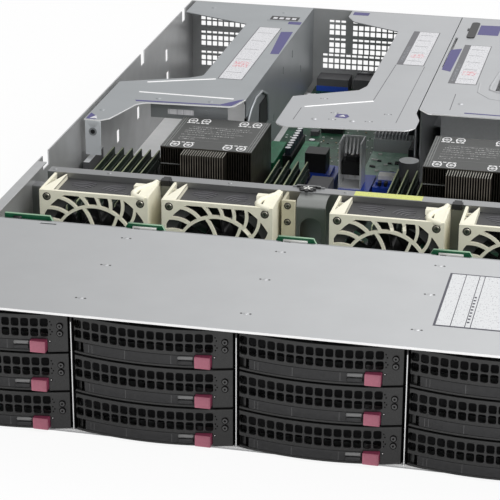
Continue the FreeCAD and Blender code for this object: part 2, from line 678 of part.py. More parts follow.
def fan_rotor():
    """Hub with seven slanted blades, bored for the shaft."""
    hub = rod("rotor_hub", (0, "guard_thick + 3.5", FAN_AXIS), "y", "hub_radius",
              "fan_depth - guard_thick - 9")
    blade = box("blade", ("hub_radius - 2", "-blade_chord / 2", "-blade_thick / 2"),
                ("blade_tip - hub_radius + 2", "blade_chord", "blade_thick"))
    slanted = bundle("blade_slanted", [blade])
    slanted.Placement = FreeCAD.Placement(FreeCAD.Vector(), FreeCAD.Rotation(FreeCAD.Vector(1, 0, 0), 35))
    blades = []
    for number in range(whole("blade_count")):
        turn = FreeCAD.Rotation(FreeCAD.Vector(0, 1, 0), 360 / value("blade_count") * number)
        copy = bundle(f"blade_{number}", [slanted])
        copy.Placement = FreeCAD.Placement(FreeCAD.Vector(), turn)
        put(copy, (0, "guard_thick + 3 + (fan_depth - guard_thick - 8) / 2", FAN_AXIS))
        blades.append(copy)
    bore = rod("rotor_bore", (0, "fan_depth - 20.5", FAN_AXIS), "y", "shaft_radius + pin_fit", "20")
    return cut("fan_rotor", fuse("rotor_blank", [hub] + blades), [bore])


def fans():
    """Four fan modules, each a housing and a rotor."""
    housing, rotor = [fan_holder(), fan_frame()], [fan_rotor()]
    for number in range(4):
        spot = (fan_centre(number), "fan_front", "fan_lift")
        part(f"fan_housing_{number + 1}", housing, spot)
        part(f"fan_rotor_{number + 1}", rotor, spot)


def fan_cage():
    """Fan wall with its top rail and floor plate, the ivory centre strip and the cable bracket."""
    floor = "(fan_lift - running_gap)"
    rail_low = "(rail_top - wall_steel)"
    wall = box("fan_wall", ("-fan_rail_reach", RAIL_FRONT, "floor_steel"),
               ("2 * fan_rail_reach", "wall_steel", f"{rail_low} - floor_steel"))
    bores = [rod(f"fan_wall_bore_{number}", (fan_centre(number), f"{RAIL_FRONT} - 1", f"fan_lift + {FAN_AXIS}"),
                 "y", "fan_bore", "wall_steel + 2") for number in range(4)]
    sheets = [cut("fan_wall_open", wall, bores)]
    sheets.append(box("fan_rail", ("-fan_rail_reach", RAIL_FRONT, rail_low),
                      ("2 * fan_rail_reach", "fan_rail_width", "wall_steel")))
    sheets.append(box("fan_floor", (f"-{HALF}", "strip_face - 20", "floor_steel"),
                      (f"2 * {HALF}", f"{RAIL_FRONT} - strip_face + 20", f"{floor} - floor_steel")))
    for side, left in (("left", f"-{HALF}"), ("right", "fan_rail_reach")):
        sheets.append(box(f"fan_wall_end_{side}", (left, RAIL_FRONT, "floor_steel"),
                          (f"{HALF} - fan_rail_reach", "wall_steel", "71 - floor_steel")))
        sheets.append(box(f"fan_rail_end_{side}", (left, RAIL_FRONT, "71"),
                          (f"{HALF} - fan_rail_reach", "fan_rail_width", "wall_steel")))
    bracket_left = "(strip_width - strip_left + running_gap)"
    arch = cut("cable_bracket_arch",
               box("cable_bracket_face", (bracket_left, "strip_face + 2", floor),
                   ("22", "wall_steel", f"78 - {floor}")),
               [box("arch_opening", (f"{bracket_left} + 3", "strip_face + 1", f"{floor} - 1"),
                    ("16", "3", f"64 - {floor}")),
                rod("arch_crown", (f"{bracket_left} + 11", "strip_face + 1", "63"), "y", "8", "3")])
    bend = cut("cable_bracket_bend",
               rod("bend_outside", (bracket_left, "strip_face + 8", "78"), "x", "6", "22"),
               [rod("bend_inside", (f"{bracket_left} - 1", "strip_face + 8", "78"), "x", "5", "24"),
                box("bend_low", (f"{bracket_left} - 1", "strip_face", "70"), ("24", "16", "8")),
                box("bend_rear", (f"{bracket_left} - 1", "strip_face + 8", "70"), ("24", "8", "16"))])
    hood = box("cable_bracket_hood", (bracket_left, "strip_face + 8", "83"),
               ("22", f"{RAIL_FRONT} - strip_face - 8", "wall_steel"))
    bracket = fuse("cable_bracket", [arch, bend, hood])
    strip = box("centre_strip", ("-strip_left", "strip_face", floor),
                ("strip_width", "3", f"rail_top - 1 - {floor}"))
    web = box("centre_web", ("-strip_left", "strip_face + 3", floor),
              ("2", f"{RAIL_FRONT} - strip_face - 3", f"rail_top - 1 - {floor}"))
    knob = rod("rail_knob", ("-4.6", f"{RAIL_FRONT} + 5", "rail_top"), "z", "4.5", "1.4")
    return part("fan_cage", sheets + [bracket, fuse("centre_post", [strip, web]), knob])


# ---------------------------------------------------------------- electronics


def module_places():
    """Where the memory modules stand across the chassis."""
    places = []
    for side in ("-", "+"):
        for bank, sign, count, start in (("inner", "-", whole("inner_modules"), "inner_start"),
                                         ("outer", "+", whole("outer_modules"), "outer_start")):
            for number in range(count):
                reach = f"(cpu_offset {sign} (cooler_width / 2 + {start} + {number} * module_pitch))"
                places.append((f"{side}{reach}", f"{bank}_{'left' if side == '-' else 'right'}_{number}"))
    return places


def board_block(name, at, size):
    """A component that stands on the motherboard, by its corner and size in plan and its height."""
    return box(name, (at[0], at[1], BOARD_TOP), size)


def motherboard():
    """Main board on its standoffs, with sockets, headers, the cable guide and the rear ports."""
    wide = box("board_wide", ("-board_half", "board_front", "board_low"),
               ("2 * board_half", "board_step - board_front", "board_thick"))
    narrow = box("board_narrow", ("-board_left", "board_step", "board_low"),
                 ("board_left + board_right", "board_rear - board_step", "board_thick"))
    pieces = [fuse("board", [wide, narrow])]
    for column, across in enumerate(("-board_half + 8", "-70", "30", "board_half - 8")):
        for row, along in enumerate(("board_front + 8", "board_step - 10")):
            pieces.append(rod(f"standoff_{row}_{column}", (across, along, "floor_steel"), "z", "3",
                              "board_low - floor_steel"))
    for number, across in enumerate(("-70", "30")):
        pieces.append(rod(f"standoff_rear_{number}", (across, "board_rear - 14", "floor_steel"), "z", "3",
                          "board_low - floor_steel"))
    for side, centre in (("left", "-cpu_offset"), ("right", "cpu_offset")):
        pieces.append(board_block(f"cpu_socket_{side}", (f"{centre} - 31", "cpu_line - 35"),
                                  ("62", "70", f"cooler_low - {BOARD_TOP}")))
    for across, name in module_places():
        base = board_block(f"slot_base_{name}", (f"{across} - 2.9", "module_front - 4.6"),
                           ("5.8", "module_length + 9.2", f"module_low - {BOARD_TOP}"))
        ends = [board_block(f"slot_end_{name}_{number}", (f"{across} - 2.9", along), ("5.8", "4.3", "16"))
                for number, along in enumerate(("module_front - 4.6", "module_front + module_length + 0.3"))]
        pieces.append(fuse(f"slot_{name}", [base] + ends))
    blocks = [("blue_socket_left", ("-50", "446"), ("30", "36", "12")),
              ("blue_socket_middle", ("-14", "432"), ("26", "40", "10")),
              ("blue_socket_right", ("14", "438"), ("20", "40", "12")),
              ("power_plug", ("-33", "385"), ("18", "34", "25")),
              ("edge_card_left", ("-90", "472"), ("13", "56", "14")),
              ("edge_card_middle", ("-65", "472"), ("13", "80", "8")),
              ("side_card", ("-4", "484"), ("34", "68", "3")),
              ("hub_cooler", ("-5", "560"), ("38", "38", "12")),
              ("board_cell", ("-60", "600"), ("20", "20", "5")),
              ("power_header", ("150", "452"), ("50", "14", "12")),
              ("front_header", ("-200", "450"), ("60", "6", "9")),
              ("capacitor_row", ("-75", "500"), ("8", "60", "11")),
              ("side_bracket", ("-board_half", "362"), ("5", "40", "42"))]
    pieces += [board_block(name, at, size) for name, at, size in blocks]
    guide = cut("cable_guide",
                box("guide_block", ("-14", "434", f"{BOARD_TOP} + 10"), ("19", "22", "40")),
                [box("guide_channel", ("-12.8", "433", f"{BOARD_TOP} + 11.2"), ("16.6", "21.8", "40"))])
    pieces.append(guide)
    pieces.append(rod("round_part", ("43", "446", BOARD_TOP), "z", "8.3", "35"))
    ports = [("vga_port", "-88", "31", "12.5"), ("lan_port_left", "-52", "16", "13.5"),
             ("lan_port_right", "-34", "16", "13.5"), ("usb_port_left", "-14", "15", "15.5"),
             ("usb_port_right", "5", "15", "15.5"), ("service_port", "26", "16", "13.5")]
    for name, left, width, height in ports:
        shell = box(name + "_shell", (left, "board_rear - 14", BOARD_TOP),
                    (width, "chassis_depth - board_rear + 14.5", height))
        mouth = box(name + "_mouth", (f"{left} + 1.5", "chassis_depth - 9", f"{BOARD_TOP} + 1.5"),
                    (f"{width} - 3", "12", f"{height} - 3"))
        pieces.append(cut(name, shell, [mouth]))
    return part("motherboard", pieces)


def memory_modules():
    """Memory boards with a row of chips on both faces."""
    board = box("module_board", ("-0.65", "module_front", "module_low"),
                ("1.3", "module_length", "module_height"))
    chips = box("module_chips", ("-1.6", "module_front + 6", "module_low + 7"),
                ("3.2", "module_length - 12", "module_height - 12"))
    module = fuse("module", [board, chips])
    rows = []
    for across, name in module_places():
        copy = bundle(f"module_{name}", [module])
        put(copy, (across, 0, 0))
        rows.append(copy)
    return part("memory_modules", rows)


def cooler():
    """A cooler: base plate, upright fins, longer fins in the middle and a plate over the rest."""
    left = "(-cooler_width / 2)"
    front = "(cpu_line - cooler_length / 2)"
    base = box("cooler_base_plate", (left, front, "cooler_low"),
               ("cooler_width", "cooler_length", "cooler_base"))
    cap = box("cooler_cap_plate", (left, front, "cooler_top - cooler_cap"),
              ("cooler_width", "cooler_length", "cooler_cap"))
    count = whole("fin_count")
    fins = []
    for number in range(count):
        across = f"({left} + {number} * (cooler_width - fin_thick) / (fin_count - 1))"
        fins.append(box(f"fin_{number}", (across, front, "cooler_low + cooler_base"),
                        ("fin_thick", "cooler_length",
                         "cooler_top - cooler_cap - cooler_low - cooler_base")))
        reach = (number / (count - 1) - 0.5) * value("cooler_width")
        if abs(reach) < value("tongue_width") / 2:
            fins.append(box(f"long_fin_{number}",
                            (across, f"{front} - tongue_reach", "cooler_low + cooler_base"),
                            ("fin_thick", "tongue_reach + 1",
                             "cooler_top - cooler_cap - cooler_low - cooler_base")))
    return fuse("cooler", [base, cap] + fins)


def processor_coolers():
    """The two coolers on the processors."""
    one = cooler()
    pair = []
    for side, across in (("left", "-cpu_offset"), ("right", "cpu_offset")):
        copy = bundle(f"cooler_{side}", [one])
        put(copy, (across, 0, 0))
        pair.append(copy)
    return part("processor_coolers", pair)


# ---------------------------------------------------------------- riser cages


def riser_boards(name, face, side, along):
    """Riser board on the inner face of a cage wall, with one card socket above the other."""
    low = "(riser_foot + running_gap)"
    board_left = f"({face} - board_thick)" if side == "-" else face
    pieces = [box(f"{name}_board", (board_left, along, low),
                  ("board_thick", "90", f"{PLATE_LOW} - running_gap - {low}"))]
    socket_left = f"({face} - board_thick - 11)" if side == "-" else f"({face} + board_thick)"
    for number in range(3):
        pieces.append(box(f"{name}_socket_{number}",
                          (socket_left, f"{along} + 2", f"card_low + {number} * card_pitch - 3.7"),
                          ("11", "86", "7.4")))
    return pieces


def wall_with_slots(name, left, front, low, slots):
    """An upright cage wall with small upright slots in it."""
    wall = box(name, (left, front, low), ("riser_steel", f"riser_rear - {front}", f"{PLATE_LOW} - {low}"))
    cutters = [box(f"{name}_slot_{number}", (f"{left} - 1", along, up), ("riser_steel + 2", "3", "7"))
               for number, (along, up) in enumerate(slots)]
    return cut(name + "_cut", wall, cutters)


def left_riser_cage():
    """Folded cage over the full-height cards, with a foot that is screwed to the side wall."""
    wall_x = "(-left_wall)"
    foot_x = f"(-{HALF} + 4)"
    corners = [(foot_x, "369"), (f"{foot_x} + 14", "369"), (f"{foot_x} + 20", "375"),
               (f"{foot_x} + 31", "416"), (f"{foot_x} + 38", "422"), (f"{wall_x} - 6", "426.5"),
               (wall_x, "449"), (wall_x, "riser_rear"), (foot_x, "riser_rear"), (foot_x, "702"),
               (f"{wall_x} - 51", "674"), (f"{wall_x} - 51", "506"), (f"{wall_x} - 61", "497.5"),
               (foot_x, "473.5")]
    top = plate("left_riser_top", "XY_Plane", corners, "riser_steel", (0, 0, PLATE_LOW),
                rounds=((1, "4"), (3, "8"), (4, "10"), (5, "8"), (11, "6")))
    wall = wall_with_slots("left_riser_wall", f"{wall_x} - riser_steel", "456", "riser_foot",
                           (("480", "40"), ("520", "58"), ("560", "30"), ("600", "62"), ("640", "66"),
                            ("680", "40")))
    foot = box("left_riser_foot", (f"{foot_x} + 1", "369", "56"), ("13", "riser_steel", f"{PLATE_LOW} - 56"))
    hole = rod("left_riser_foot_hole", (f"{foot_x} + 7.5", "368", "76"), "y", "2", "4")
    beam = box("left_riser_beam", (f"{foot_x} + 40", "428", "72"), ("66", "riser_steel", f"{PLATE_LOW} - 72"))
    fold = box("left_riser_fold", (f"{wall_x} - riser_steel", "449", "70"),
               ("riser_steel", "7", f"{PLATE_LOW} - 70"))
    sheets = [top, wall, cut("left_riser_foot_cut", foot, [hole]), beam, fold]
    boards = riser_boards("left_riser", f"({wall_x} - riser_steel)", "-", "500")
    return part("left_riser_cage", sheets + boards)


def middle_riser_cage():
    """Folded cage over the middle card slots."""
    edge = "(right_wall - 0.8)"
    front_corners = [("-60", "446"), ("-60", "396"), ("-53", "388.5"), (f"{edge} - 1", "399"),
                     (f"{edge} + 5", "407"), (f"{edge} + 5", "428"), (edge, "446")]
    rear_corners = [("-60", "446"), (edge, "446"), (edge, "riser_rear"), ("-58", "riser_rear"),
                    ("-58", "721"), ("-50", "705"), ("-4", "681"), ("-4", "509"), ("-9", "496"),
                    ("-60", "467.5")]
    front = plate("middle_riser_front", "XY_Plane", front_corners, "riser_steel", (0, 0, PLATE_LOW),
                  rounds=((3, "6"),))
    rear = plate("middle_riser_rear", "XY_Plane", rear_corners, "riser_steel", (0, 0, PLATE_LOW),
                 rounds=((5, "6"), (7, "5")))
    wall = wall_with_slots("middle_riser_wall", "middle_wall - riser_steel", "456", "riser_foot",
                           (("470", "50"), ("640", "50")))
    beam = box("middle_riser_beam", ("-50", "480", "76"), ("44", "riser_steel", f"{PLATE_LOW} - 76"))
    tongue = box("middle_riser_tongue", ("-50", "460", f"{PLATE_LOW} - riser_steel"),
                 ("44", "20", "riser_steel"))
    boards = riser_boards("middle_riser", "(middle_wall - riser_steel)", "-", "510")
    return part("middle_riser_cage", [front, rear, wall, beam, tongue] + boards)


def right_riser_cage():
    """Folded cage over the power supplies, with a window, a pull strap and a front panel."""
    corners = [("right_wall", "457.5"), ("right_wall + 9", "446.5"), ("right_reach - 8", "449"),
               ("right_reach", "457"), ("right_reach", "riser_rear"), ("right_wall", "riser_rear")]
    top = plate("right_riser_top", "XY_Plane", corners, "riser_steel", (0, 0, PLATE_LOW),
                rounds=((1, "5"), (2, "5")))
    window = box("riser_window", ("104", "520", f"{PLATE_LOW} - 1"), ("70", "50", "riser_steel + 2"))
    slit = box("riser_slit", ("right_wall + 2.2", "578", f"{PLATE_LOW} - 1"), ("2.4", "96", "riser_steel + 2"))
    shelf_low = f"({PSU_TOP} + 2)"
    wall = box("right_riser_wall", ("right_wall + 1", "458", "riser_foot"),
               ("riser_steel", "riser_rear - 458", f"{PLATE_LOW} - riser_foot"))
    inner = "(right_wall + 1 + riser_steel)"
    shelf = box("psu_shelf", (inner, "540", shelf_low),
                (f"{HALF} - running_gap - {inner}", "riser_rear - 540", "riser_steel"))
    face = box("riser_face", ("62", "505", shelf_low),
               ("right_reach - riser_steel - 62", "riser_steel", f"{PLATE_LOW} - {shelf_low}"))
    apron = box("riser_apron", ("62", "505 + riser_steel", shelf_low),
                ("right_reach - 62", "35 - riser_steel", "riser_steel"))
    side = box("riser_far_side", ("right_reach - riser_steel", "470", f"{shelf_low} + riser_steel"),
               ("riser_steel", "riser_rear - 470", f"{PLATE_LOW} - {shelf_low} - riser_steel"))
    sheets = [cut("right_riser_top_cut", top, [window, slit]), wall, shelf, face, apron, side]
    strap = fuse("pull_strap", [box("strap_bar", ("58", "722", "wall_height"), ("12", "5", "0.8")),
                                box("strap_stem", ("62.4", "674", "wall_height"), ("2.6", "50", "0.8"))])
    return part("right_riser_cage", sheets + [strap])


# ---------------------------------------------------------------- power supplies


def power_supply():
    """Supply with its mains inlet, pull handle and latch; its place is its left rear lower corner."""
    case = box("psu_case", (0, "-psu_length", 0), ("psu_width", "psu_length", "psu_height"))
    inlet = box("psu_inlet", ("9", "-inlet_depth", "(psu_height - inlet_height) / 2"),
                ("inlet_width", "inlet_depth + 1", "inlet_height"))
    posts = [box(f"handle_post_{name}", ("psu_width - 22", 0, low), ("4", "handle_reach", "4"))
             for name, low in (("low", "5"), ("high", "psu_height - 9"))]
    grip = box("handle_grip", ("psu_width - 22", "handle_reach - 5", "5"), ("4", "5", "psu_height - 10"))
    latch = fuse("psu_latch", [box("latch_stem", ("psu_width - 8", 0, "12"), ("2.4", "14", "16")),
                               box("latch_tab", ("psu_width - 14", "12", "12"), ("8.4", "2.4", "16"))])
    return [cut("psu_body", case, [inlet]), fuse("psu_handle", posts + [grip]), latch]


def power_supplies():
    """The two supplies side by side at the right rear."""
    pieces = power_supply()
    for number in range(2):
        part(f"power_supply_{number + 1}", pieces,
             (f"psu_right - psu_width - {1 - number} * psu_pitch", "chassis_depth", "psu_lift"))


# ---------------------------------------------------------------- rear panel


def rear_panel():
    """Rear wall with openings for ports and power supplies and square vent holes in the card brackets."""
    body = doc.addObject("PartDesign::Body", "rear_sheet")
    outline = new_sketch(body, "rear_outline", "XZ_Plane")
    psu_left = "(psu_right - psu_width - psu_pitch - side_gap)"
    add_loop(outline, [(f"-{HALF}", "floor_steel"), (HALF, "floor_steel"), (HALF, "wall_height"),
                       (f"-{HALF}", "wall_height")])
    add_loop(outline, [(psu_left, "floor_steel + 0.1"), ("psu_right + side_gap", "floor_steel + 0.1"),
                       ("psu_right + side_gap", f"{PSU_TOP} + side_gap"), (psu_left, f"{PSU_TOP} + side_gap")])
    add_loop(outline, [("-board_left + 2", f"{BOARD_TOP} - side_gap"), ("44", f"{BOARD_TOP} - side_gap"),
                       ("44", f"{BOARD_TOP} + 16"), ("-board_left + 2", f"{BOARD_TOP} + 16")])
    pad = body.newObject("PartDesign::Pad", "rear_pad")
    pad.Profile = outline
    pad.Reversed = True
    pad.setExpression("Length", tied("wall_steel"))
    doc.recompute()
    blocks = (("left", "-208", 18, ("21.6", "41.9", "62.2")), ("middle", "-57", 17, ("43", "61")),
              ("narrow", "-80", 3, ("43", "61")), ("lower", "-86", 22, ("27",)),
              ("right", "60", 25, ("46.5", "66.8")))
    vents = []
    for name, left, columns, lows in blocks:
        stack = []
        for number, low in enumerate(lows):
            for step, (rise, height) in enumerate((("0", "vent_hole"), ("vent_pitch", "vent_hole"),
                                                   ("2 * vent_pitch + 1", "gap_hole"))):
                stack.append(box(f"vent_{name}_{number}_{step}", (left, "-2 * wall_steel", f"{low} + {rise}"),
                                 ("vent_hole", "4 * wall_steel", height)))
        column = bundle(f"vents_{name}", stack)
        for number in range(columns):
            copy = bundle(f"vents_{name}_{number}", [column])
            put(copy, (f"{number} * vent_pitch", 0, 0))
            vents.append(copy)
    sheet = cut("rear_vented", body, vents)
    return part("rear_panel", [sheet], (0, "chassis_depth - wall_steel", 0))


# ---------------------------------------------------------------- rack ears


def ear_pieces(side):
    """Ear plate with two slots, its leg along the side wall and the operating panel on it."""
    edge = f"-{OUTER}" if side == "left" else OUTER
    reach = f"(rack_width / 2 - {OUTER})"
    plate_left = "-rack_width / 2" if side == "left" else edge
    blade = box(f"ear_{side}_plate", (plate_left, "-ear_steel", "1"), (reach, "ear_steel", "85"))
    leg_left = f"-{OUTER} - floor_steel" if side == "left" else edge
    leg = box(f"ear_{side}_leg", (leg_left, 0, "8"), ("floor_steel", "ear_leg", "70"))
    centre = "-rack_hole_span / 2" if side == "left" else "rack_hole_span / 2"
    slots = [slot_tool(f"rack_slot_{side}_{name}", (centre, "-ear_steel - 1", up), "rack_slot",
                       "rack_slot_radius", "ear_steel + 2")
             for name, up in (("low", "rack_hole_low"), ("high", "rack_hole_low + rack_hole_rise"))]
    ear = cut(f"ear_{side}", blade, slots)
    panel_left = f"-{OUTER} - panel_width" if side == "left" else edge
    panel = box(f"ear_{side}_panel", (panel_left, "-ear_steel - panel_depth", "2"),
                ("panel_width", "panel_depth", "83"))
    if side == "right":
        panel = cut("ear_right_panel_bored", panel,
                    [rod("power_bore", (f"{OUTER} + panel_width / 2", "-ear_steel - panel_depth - 1", "72"),
                         "y", "power_radius + running_gap", "panel_depth - 1")])
    return [ear, leg, panel]


def rack_ears():
    """The two ears that fasten the server to the rack."""
    return part("rack_ears", ear_pieces("left") + ear_pieces("right"))


def power_button():
    """Round button in the right ear's panel."""
    button = rod("power_cap", (0, "-ear_steel - panel_depth - 0.8", 0), "y", "power_radius", "4")
    return part("power_button", [button], (f"{OUTER} + panel_width / 2", 0, "72"))


# ---------------------------------------------------------------- build, check and write


def check_all():
    """Stops if any object of the document failed or any sub-part is empty or broken."""
    doc.recompute()
    failed = [item.Name for item in doc.Objects if "Invalid" in item.State or "Error" in item.State]
    if failed:
        raise RuntimeError(f"objects that failed: {failed}")
    for item in parts:
        if item.Shape.isNull() or not item.Shape.isValid() or not item.Shape.Solids:
            raise RuntimeError(f"{item.Label} has no sound shape")


def write_parts():
    """One STEP file for each sub-part."""
    os.makedirs("parts", exist_ok=True)
    for item in parts:
        item.Shape.exportStep(f"parts/{item.Label}.step")


chassis_tray()
drive_bay_cover()
drive_cage()
drive_bays()
backplane()
fans()
fan_cage()
motherboard()
memory_modules()
processor_coolers()
left_riser_cage()
middle_riser_cage()
right_riser_cage()
power_supplies()
rear_panel()
rack_ears()
power_button()
check_all()
write_parts()
print(f"{len(parts)} sub-parts written")
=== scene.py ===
"""Looks of the twelve-bay 2U rack server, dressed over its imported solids."""
import math
import random
import bmesh
import bpy
from mathutils import Euler, Matrix, Vector


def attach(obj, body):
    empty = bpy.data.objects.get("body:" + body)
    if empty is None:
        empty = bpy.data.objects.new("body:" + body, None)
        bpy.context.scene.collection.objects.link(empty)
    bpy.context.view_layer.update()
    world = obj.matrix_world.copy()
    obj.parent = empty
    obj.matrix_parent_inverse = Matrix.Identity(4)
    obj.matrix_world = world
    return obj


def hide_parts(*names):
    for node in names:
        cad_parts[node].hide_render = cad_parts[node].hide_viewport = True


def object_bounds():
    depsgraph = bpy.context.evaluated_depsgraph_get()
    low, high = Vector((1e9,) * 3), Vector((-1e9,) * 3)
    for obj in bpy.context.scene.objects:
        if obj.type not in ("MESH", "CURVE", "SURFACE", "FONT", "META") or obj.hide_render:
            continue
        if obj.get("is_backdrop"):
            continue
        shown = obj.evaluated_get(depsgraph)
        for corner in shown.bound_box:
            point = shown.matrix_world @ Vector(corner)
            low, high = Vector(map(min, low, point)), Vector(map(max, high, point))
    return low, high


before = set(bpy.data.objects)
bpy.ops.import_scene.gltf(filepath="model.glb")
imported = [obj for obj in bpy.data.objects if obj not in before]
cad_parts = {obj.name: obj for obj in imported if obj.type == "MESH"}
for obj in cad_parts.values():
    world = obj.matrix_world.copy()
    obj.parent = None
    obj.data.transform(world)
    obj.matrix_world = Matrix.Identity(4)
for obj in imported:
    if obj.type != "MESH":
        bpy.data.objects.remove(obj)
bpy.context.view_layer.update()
CHASSIS = "chassis"

# ------------------------------------------------------------------ studio
# The server stands on a pale table in a bright tent: white all round to the eye, softly lit from the
# upper right and from behind, so that the sheet steel shades from mid grey on the left to pale grey.
scene = bpy.context.scene
scene.view_settings.view_transform = "Standard"

lens = bpy.data.cameras.new("camera")
lens.lens = 145.736
lens.sensor_width = 36
lens.clip_start = 0.05
camera = bpy.data.objects.new("camera", lens)
camera.location = (0.26112, -1.12313, 0.60715)
camera.rotation_euler = Euler((math.radians(67.8398), math.radians(-0.1843), math.radians(12.7411)))
scene.collection.objects.link(camera)
scene.camera = camera

world = bpy.data.worlds.new("tent")
world.use_nodes = True
scene.world = world
sky = world.node_tree


def wire(tree, made, sockets):
    """Sets a node's sockets: each takes a plain value, or the output that feeds it."""
    for key, value in sockets.items():
        if isinstance(value, bpy.types.NodeSocket):
            tree.links.new(value, made.inputs[key])
        else:
            made.inputs[key].default_value = value


def shader_node(tree, kind, sockets=None, **settings):
    """Adds a shader node with its settings and its sockets."""
    made = tree.nodes.new("ShaderNode" + kind)
    for name, value in settings.items():
        setattr(made, name, value)
    wire(tree, made, sockets or {})
    return made


seen = shader_node(sky, "LightPath")
direction = shader_node(sky, "TexCoord")
split = shader_node(sky, "SeparateXYZ", {0: direction.outputs["Generated"]})
side_light = shader_node(sky, "MapRange", {"Value": split.outputs["X"], "From Min": -0.42,
        "From Max": -0.08, "To Min": 0.5, "To Max": 1})
strength = shader_node(sky, "Mix", {"Factor": seen.outputs["Is Camera Ray"], "A": side_light.outputs[0],
        "B": 1})
wire(sky, sky.nodes["Background"], {"Color": (1, 1, 1, 1), "Strength": strength.outputs["Result"]})


def lamp(name, at, aim, size, watts):
    """A square soft box that faces a point."""
    light = bpy.data.lights.new(name, "AREA")
    light.size = size
    light.energy = watts
    holder = bpy.data.objects.new(name, light)
    holder.location = at
    holder.rotation_euler = (Vector(aim) - Vector(at)).to_track_quat("-Z", "Y").to_euler()
    scene.collection.objects.link(holder)


lamp("key", (1.6, -0.9, 1.9), (0, 0.3, 0), 1.2, 26)
lamp("back", (0.9, 1.9, 2.4), (0, 0.4, 0), 1.4, 14)

table = bmesh.new()
bmesh.ops.create_grid(table, x_segments=1, y_segments=1, size=6)
table_mesh = bpy.data.meshes.new("table")
table.to_mesh(table_mesh)
table_top = bpy.data.objects.new("table", table_mesh)
scene.collection.objects.link(table_top)
white = bpy.data.materials.new("white_table")
white.use_nodes = True
tree = white.node_tree
pale = shader_node(tree, "BsdfDiffuse", {"Color": (0.85, 0.85, 0.85, 1)})
bright = shader_node(tree, "Emission", {"Color": (1, 1, 1, 1)})
path = shader_node(tree, "LightPath")
share = shader_node(tree, "Math", {0: path.outputs["Is Camera Ray"], 1: 0.9}, operation="MULTIPLY")
blend = shader_node(tree, "MixShader", {0: share.outputs[0], 1: pale.outputs[0], 2: bright.outputs[0]})
wire(tree, tree.nodes["Material Output"], {"Surface": blend.outputs[0]})
table_mesh.materials.append(white)
table_top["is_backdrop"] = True


# ------------------------------------------------------------------ chassis sheet steel
# Floor, walls, drive dividers and rear panel are bent from galvanised sheet about 1 mm thick and
# riveted together. The cut edges are broken slightly and catch the light.
def make_grain():
    """Node group: fine spangle and long rolling marks of zinc-coated sheet, as a tint and a height."""
    group = bpy.data.node_groups.new("zinc_grain", "ShaderNodeTree")
    for name, way, kind in (("Scale", "INPUT", "Float"), ("Color", "INPUT", "Color"),
            ("Depth", "INPUT", "Float"), ("Color", "OUTPUT", "Color"), ("Roughness", "OUTPUT", "Float"),
            ("Height", "OUTPUT", "Float")):
        group.interface.new_socket(name, in_out=way, socket_type="NodeSocket" + kind)
    entry = group.nodes.new("NodeGroupInput").outputs
    place = shader_node(group, "TexCoord").outputs["Object"]
    clouds = shader_node(group, "TexNoise", {"Vector": place, "Scale": entry["Scale"],
            "Detail": 4}).outputs["Fac"]
    stretch = shader_node(group, "Mapping", {"Vector": place, "Scale": (1, 0.12, 1)})
    streaks = shader_node(group, "TexNoise", {"Vector": stretch.outputs[0], "Scale": 900, "Detail": 2})
    shade = shader_node(group, "MapRange", {"Value": clouds, "From Min": 0.3, "From Max": 0.7})
    least = shader_node(group, "Math", {0: 1, 1: entry["Depth"]}, operation="SUBTRACT")
    dark = shader_node(group, "MapRange", {"Value": shade.outputs[0], "To Min": 1,
            "To Max": least.outputs[0]})
    grey = shader_node(group, "CombineColor", dict.fromkeys(("Red", "Green", "Blue"), dark.outputs[0]))
    tint = shader_node(group, "Mix", {"Factor": 1, "A": entry["Color"], "B": grey.outputs[0]},
            data_type="RGBA", blend_type="MULTIPLY")
    gloss = shader_node(group, "MapRange", {"Value": clouds, "To Min": 0.3, "To Max": 0.42})
    wire(group, group.nodes.new("NodeGroupOutput"), {"Color": tint.outputs["Result"],
            "Roughness": gloss.outputs[0], "Height": streaks.outputs["Fac"]})
    return group


grain = make_grain()


def new_finish(name):
    """A fresh material, its nodes and its shader."""
    finish = bpy.data.materials.new(name)
    finish.use_nodes = True
    return finish, finish.node_tree, finish.node_tree.nodes["Principled BSDF"]


def sheet_metal(name, color, scale=60, depth=0.08, bump=0.04, metallic=1):
    """A metal finish with the grain group on its colour, roughness and bump."""
    finish, tree, shader = new_finish(name)
    marks = shader_node(tree, "Group", {"Scale": scale, "Color": (*color, 1), "Depth": depth},
            node_tree=grain).outputs
    rise = shader_node(tree, "Bump", {"Strength": bump, "Distance": 0.0002, "Height": marks["Height"]})
    wire(tree, shader, {"Metallic": metallic, "Base Color": marks["Color"], "Roughness": marks["Roughness"],
            "Normal": rise.outputs[0]})
    return finish


def corners_of(faces):
    """The vertices of some faces."""
    return list({vertex for face in faces for vertex in face.verts})


def bevel(shape, geometry, width, segments=1, affect="EDGES", clamp=True):
    """Rounds edges or corners."""
    bmesh.ops.bevel(shape, geom=geometry, affect=affect, offset=width, segments=segments, profile=0.5,
            material=-1, clamp_overlap=clamp)


def solids_of(shape):
    """The separate solids in a merged bmesh, as lists of faces."""
    left = set(shape.faces)
    found = []
    while left:
        island = []
        queue = [left.pop()]
        while queue:
            face = queue.pop()
            island.append(face)
            for edge in face.edges:
                for other in edge.link_faces:
                    if other in left:
                        left.remove(other)
                        queue.append(other)
        found.append(island)
    return found


def extent(faces):
    """Lowest and highest corner of some faces."""
    points = [vertex.co for face in faces for vertex in face.verts]
    low = Vector([min(point[axis] for point in points) for axis in range(3)])
    high = Vector([max(point[axis] for point in points) for axis in range(3)])
    return low, high


def opened(node):
    """A CAD node's solids in millimetres, merged into clean faces."""
    shape = bmesh.new()
    shape.from_mesh(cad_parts[node].data)
    bmesh.ops.scale(shape, vec=(1000, 1000, 1000), verts=shape.verts)
    bmesh.ops.remove_doubles(shape, verts=shape.verts, dist=0.001)
    bmesh.ops.dissolve_limit(shape, angle_limit=math.radians(0.5), verts=shape.verts, edges=shape.edges)
    return shape


